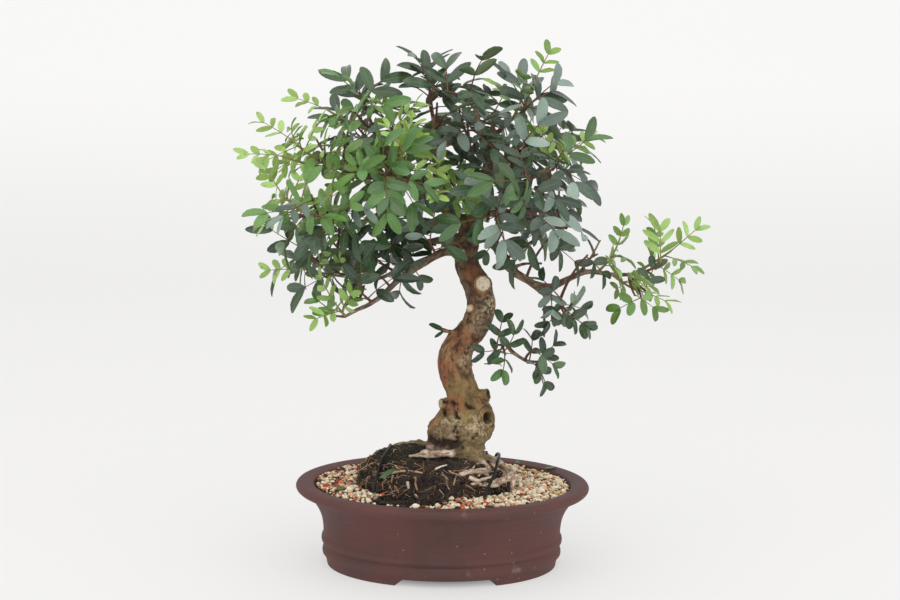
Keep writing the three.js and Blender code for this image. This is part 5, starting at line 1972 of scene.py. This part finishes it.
class BONSAI_OT_shoots(bpy.types.Operator):
    """Grows each leafy shoot of the plain model with its fine leaflets, stalks and buds"""

    bl_idname = "bonsai.shoots"
    bl_label = "Leafy shoots"

    def execute(self, context):
        settings = context.scene.bonsai_leaves
        draw = random.Random(settings.seed + 10).random
        for number, twig in enumerate(crown(settings)[0], start=1):
            young = twig.kind is YOUNG
            node = f"{'young' if young else 'leafy'}_shoot_{number:02d}"
            bm = leafy_bmesh([twig], draw, settings.thickness * 1000)
            make_piece(f"shoot_{number:02d}_leaves", bm, leaf_materials(), [node])
        return {"FINISHED"}


class BONSAI_OT_foliage(bpy.types.Operator):
    """Fills the crown with the leaves between the shoots, limb by limb"""

    bl_idname = "bonsai.foliage"
    bl_label = "Inner foliage"

    def execute(self, context):
        settings = context.scene.bonsai_leaves
        draw = random.Random(settings.seed + 20).random
        inner = crown(settings)[1]
        for limb in FOLIAGE:
            twigs = [twig for twig in inner if twig.limb == limb]
            if twigs:
                bm = leafy_bmesh(twigs, draw, settings.thickness * 1000)
                make_piece(f"{limb}_foliage", bm, leaf_materials())
        return {"FINISHED"}


# Leaflets that have dropped on the grit: where, turn, length and age. The sprout on the trunk's small stub:
# where, which way and how long. The small weed on the root ball
FALLEN = [((-94, -38.6, 74.5), 0.7, 9, 0.6), ((74.8, 69.4, 73.5), 2.2, 9, 0.5),
          ((95.9, 49.4, 73), 0.2, 10, 0.85), ((-63.2, -56.1, 74.5), 1.4, 9, 0.88)]
SPROUT = [((-2.4, -6, 209), (-0.86, -0.1, 0.5), 15), ((-2, -6.5, 208), (-0.6, -0.5, -0.3), 9)]
WEED = {"foot": (-38, -42, 91), "tip": (-43, -49, 95), "turn": 3.7, "length": 19, "width": 4.6}


def lying(turn, lean):
    """A direction that turns round the upright and leans up or down."""
    return Vector((math.cos(turn), math.sin(turn), lean))


def loose_leaf(foot, along, up, length, width, age, kind=MATURE):
    """A leaf with hardly any rachis, which carries a single leaflet."""
    along = along.normalized()
    kind = {**kind, "rachis": 1.0, "leaflet": length, "width": width, "droop": 0.0}
    leaf = Leaf(kind, Vector(foot), along, square_to(Vector(up), along))
    leaf.age = age
    return leaf


class BONSAI_OT_details(bpy.types.Operator):
    """Drops four leaflets on the grit, and sets a sprout on the trunk and a weed on the root ball"""

    bl_idname = "bonsai.details"
    bl_label = "Single leaflets and weed"

    def execute(self, context):
        settings = context.scene.bonsai_leaves
        draw = random.Random(settings.seed + 30).random
        bm = new_bmesh("age", "tone")
        leaves = [loose_leaf(spot, lying(turn, 0.08), (0, 0, 1), length, length * 0.42, age)
                  for spot, turn, length, age in FALLEN]
        leaves += [loose_leaf(foot, Vector(along), (0, -1, 0.4), length, length * 0.36, 0.3, SMALL)
                   for foot, along, length in SPROUT]
        for leaf in leaves:
            add_leaflet(bm, leaf, 0, 0, 1, draw)
        bmesh.ops.solidify(bm, geom=list(bm.faces), thickness=settings.thickness * 1000)
        shade_smooth(bm)
        make_piece("single_leaflets", bm, leaf_materials())
        bm = new_bmesh("age", "tone")
        foot, tip = Vector(WEED["foot"]), Vector(WEED["tip"])
        leaf = loose_leaf(tip, lying(WEED["turn"], -0.3), (0, 0, 1), WEED["length"], WEED["width"], 0.32,
                          {**MATURE, "fullness": 0.8, "rows": 12})
        add_leaflet(bm, leaf, 0, 0, 1, draw)
        bmesh.ops.solidify(bm, geom=list(bm.faces), thickness=settings.thickness * 1000)
        stem = Bow(foot, (foot + tip) / 2 + Vector((0, 0, 2)), tip)
        made = add_tube(bm, stem, 8, 6, lambda along, turn, centre: 0.7 - 0.2 * along, material=2)
        give(bm, made, age=0.6, tone=0.5)
        close_tubes(bm)
        shade_smooth(bm)
        make_piece("little_weed", bm, leaf_materials())
        return {"FINISHED"}


def set_up(name, data, spot, turn):
    """Puts a camera or a lamp at a place in metres, turned by a matrix."""
    made = bpy.data.objects.new(name, data)
    bpy.context.scene.collection.objects.link(made)
    made.matrix_world = Matrix.Translation(spot) @ turn.to_4x4()
    return made


def add_camera(lens):
    data = bpy.data.cameras.new("camera")
    data.sensor_width = 36
    data.lens = lens
    data.clip_end = 20
    turn = Matrix((VIEW_RIGHT, VIEW_UP, VIEW_BACK)).transposed()
    spot = PLACE @ (VIEW_TARGET + VIEW_BACK * VIEW_DISTANCE)
    bpy.context.scene.camera = set_up("camera", data, spot, turn)


def add_light(name, spot, aim, size, power, colour):
    data = bpy.data.lights.new(name, "AREA")
    data.shape = "RECTANGLE"
    data.size, data.size_y = size
    data.energy = power
    data.color = colour[:3]
    place = PLACE @ Vector(spot)
    set_up(name, data, place, (PLACE @ Vector(aim) - place).to_track_quat("-Z", "Y").to_matrix())


# How wide the paper is, how far it comes to the front and how far up it goes behind; and its soft turn
PAPER_WIDE = 6400
PAPER_FRONT = 2600
PAPER_TALL = 2600
PAPER_SOFT = 1000


def add_backdrop(wall_at, soft):
    """Floor and wall as one sheet with a soft turn between them."""
    bm = new_bmesh()
    made = bmesh.ops.create_grid(bm, x_segments=2, y_segments=90, size=0.5, calc_uvs=True)["verts"]
    flat = wall_at - soft + PAPER_FRONT
    arc = soft * math.pi / 2
    for vert in made:
        run = (vert.co.y + 0.5) * (flat + arc + PAPER_TALL)
        if run <= flat:
            y, z = run - PAPER_FRONT, 0.0
        elif run <= flat + arc:
            bend = (run - flat) / soft
            y, z = wall_at - soft + soft * math.sin(bend), soft * (1 - math.cos(bend))
        else:
            y, z = wall_at, soft + run - flat - arc
        vert.co = Vector((vert.co.x * PAPER_WIDE, y, z))
    shade_smooth(bm)
    bmesh.ops.transform(bm, matrix=PLACE, verts=bm.verts)
    backdrop = object_from("backdrop", bm)
    backdrop.data.materials.append(finish_of("paper"))


class BONSAI_OT_stage(bpy.types.Operator):
    """Sets the pale floor and wall, the soft studio light and the camera"""

    bl_idname = "bonsai.stage"
    bl_label = "Stage"

    def execute(self, context):
        scene = context.scene
        settings = scene.bonsai_stage
        add_backdrop(settings.wall_distance * 1000, PAPER_SOFT)
        world = bpy.data.worlds.new("studio air")
        world.use_nodes = True
        air = world.node_tree.nodes["Background"]
        air.inputs["Color"].default_value = settings.air
        air.inputs["Strength"].default_value = settings.air_strength
        scene.world = world
        lamps = [("key light", (-900, -1300, 1500), (0, 0, 220), (2.0, 1.8), settings.key_power),
                 ("fill light", (1200, -1300, 1000), (0, 0, 220), (2.0, 1.8), settings.fill_power),
                 ("top light", (0, -200, 1700), (0, 0, 200), (2.4, 2.0), settings.top_power)]
        for lamp in lamps:
            add_light(*lamp, settings.light_colour)
        scene.view_settings.view_transform = "Standard"
        scene.view_settings.look = "None"
        add_camera(settings.lens)
        return {"FINISHED"}


def colour_setting(name, description, red, green, blue):
    return bpy.props.FloatVectorProperty(name=name, description=description, subtype="COLOR", size=4,
                                         min=0, max=1, default=paint(red, green, blue))


def count_setting(name, description, default):
    return bpy.props.IntProperty(name=name, description=description, default=default, min=0)


def length_setting(name, description, default):
    return bpy.props.FloatProperty(name=name, description=description, default=default, min=0.0001,
                                   precision=4, subtype="DISTANCE", unit="LENGTH")


def power_setting(name, description, default):
    return bpy.props.FloatProperty(name=name, description=description, default=default, min=0,
                                   subtype="POWER", unit="POWER")


def share_setting(name, description, default):
    return bpy.props.FloatProperty(name=name, description=description, default=default, min=0, max=1,
                                   subtype="FACTOR")


class BonsaiPotSettings(bpy.types.PropertyGroup):
    """Sizes and colours of the pot and of what fills it"""

    edge: length_setting("Edge", "Roundness of the pot's sharp edges", 0.0006)
    clay_dark: colour_setting("Dark clay", "Darker patches of the clay", 76, 47, 44)
    clay_light: colour_setting("Light clay", "Paler patches of the clay", 97, 60, 56)
    dust: share_setting("Dust", "Share of dust specks on the clay", 0.012)
    grit_colour: colour_setting("Grit", "Colour of most stones", 224, 204, 172)
    stones: count_setting("Stones", "Number of larger stones", 980)
    small_stones: count_setting("Small stones", "Number of small stones between them", 1150)
    crumbs: count_setting("Crumbs", "Loose crumbs of soil on the root ball", 1350)
    rootlets: count_setting("Fine roots", "Fine roots on the root ball", 420)
    moss_tufts: count_setting("Moss tufts", "Tufts of moss on the root ball", 520)
    seed: count_setting("Seed", "Start of the chance numbers of the pot's filling", 77)


class BonsaiTreeSettings(bpy.types.PropertyGroup):
    """Fineness and colours of the wood"""

    wood_grid: length_setting("Wood grid", "Size of the squares that the wood's skin is made of", 0.00103)
    bark_dark: colour_setting("Dark bark", "Darker bark of the thick wood", 76, 52, 36)
    bark_light: colour_setting("Light bark", "Paler bark of the thick wood", 174, 136, 94)


class BonsaiLeafSettings(bpy.types.PropertyGroup):
    """Sizes and colours of the leaves"""

    thickness: length_setting("Blade", "Thickness of a leaflet", BLADE_THICK * MM)
    leaf_old: colour_setting("Old leaves", "Dark leaves inside the crown", 36, 60, 46)
    leaf_mature: colour_setting("Grown leaves", "Most leaves", 53, 83, 52)
    # Painted sheen: this pale bluish colour stands in for the leaves' reflections
    leaf_painted_sheen: colour_setting("Pale leaves", "Old leaves with a bluish bloom", 136, 158, 146)
    leaf_fresh: colour_setting("Fresh leaves", "Leaves of this year", 98, 141, 52)
    leaf_lime: colour_setting("Lime leaves", "Leaves that have just opened", 156, 192, 90)
    seed: count_setting("Seed", "Start of the chance numbers of the leaves", 501)


class BonsaiStageSettings(bpy.types.PropertyGroup):
    """Light, backdrop and camera"""

    paper: colour_setting("Paper", "Colour of the paper that is floor and wall", 152, 151, 150)
    # The glow is painted light: the paper is no lamp
    glow: share_setting("Glow", "Light that the paper gives off", 0.53)
    air: colour_setting("Air", "Colour of the light from all round", 255, 255, 255)
    light_colour: colour_setting("Light", "Colour of the lamps", 255, 252, 247)
    air_strength: share_setting("Air strength", "Light from all round", 0.8)
    key_power: power_setting("Key light", "Power of the light from the left", 9)
    fill_power: power_setting("Fill light", "Power of the light from the right", 7.5)
    top_power: power_setting("Top light", "Power of the light from above", 6)
    lens: bpy.props.FloatProperty(name="Lens", description="Focal length in millimetres", default=76, min=10)
    wall_distance: length_setting("Wall distance", "How far the wall stands behind the pot's middle", 2.5)


SETTINGS = {
    "bonsai_pot": BonsaiPotSettings,
    "bonsai_tree": BonsaiTreeSettings,
    "bonsai_leaves": BonsaiLeafSettings,
    "bonsai_stage": BonsaiStageSettings,
}
OPERATORS = [
    BONSAI_OT_stage, BONSAI_OT_pot, BONSAI_OT_screens, BONSAI_OT_grit, BONSAI_OT_root_ball,
    BONSAI_OT_rootlets, BONSAI_OT_moss, BONSAI_OT_wires, BONSAI_OT_wood, BONSAI_OT_shoots,
    BONSAI_OT_foliage, BONSAI_OT_details,
]


class BONSAI_PT_panel(bpy.types.Panel):
    """Lists the settings and the pieces of the bonsai"""

    bl_idname = "BONSAI_PT_panel"
    bl_label = "Pistachio bonsai"
    bl_space_type = "VIEW_3D"
    bl_region_type = "UI"
    bl_category = "Bonsai"

    def draw(self, context):
        for name, group_class in SETTINGS.items():
            box = self.layout.box()
            box.label(text=group_class.__doc__)
            for key in group_class.__annotations__:
                box.prop(getattr(context.scene, name), key)
        for operator in OPERATORS:
            self.layout.operator(operator.bl_idname)


def register():
    for kind in [*SETTINGS.values(), *OPERATORS, BONSAI_PT_panel]:
        bpy.utils.register_class(kind)
    for name, kind in SETTINGS.items():
        setattr(bpy.types.Scene, name, bpy.props.PointerProperty(type=kind))


def unregister():
    for name in SETTINGS:
        delattr(bpy.types.Scene, name)
    for kind in reversed([*SETTINGS.values(), *OPERATORS, BONSAI_PT_panel]):
        bpy.utils.unregister_class(kind)


def main():
    """Makes every piece in order."""
    register()
    for operator in OPERATORS:
        family, name = operator.bl_idname.split(".")
        getattr(getattr(bpy.ops, family), name)()


if __name__ == "__main__":
    main()
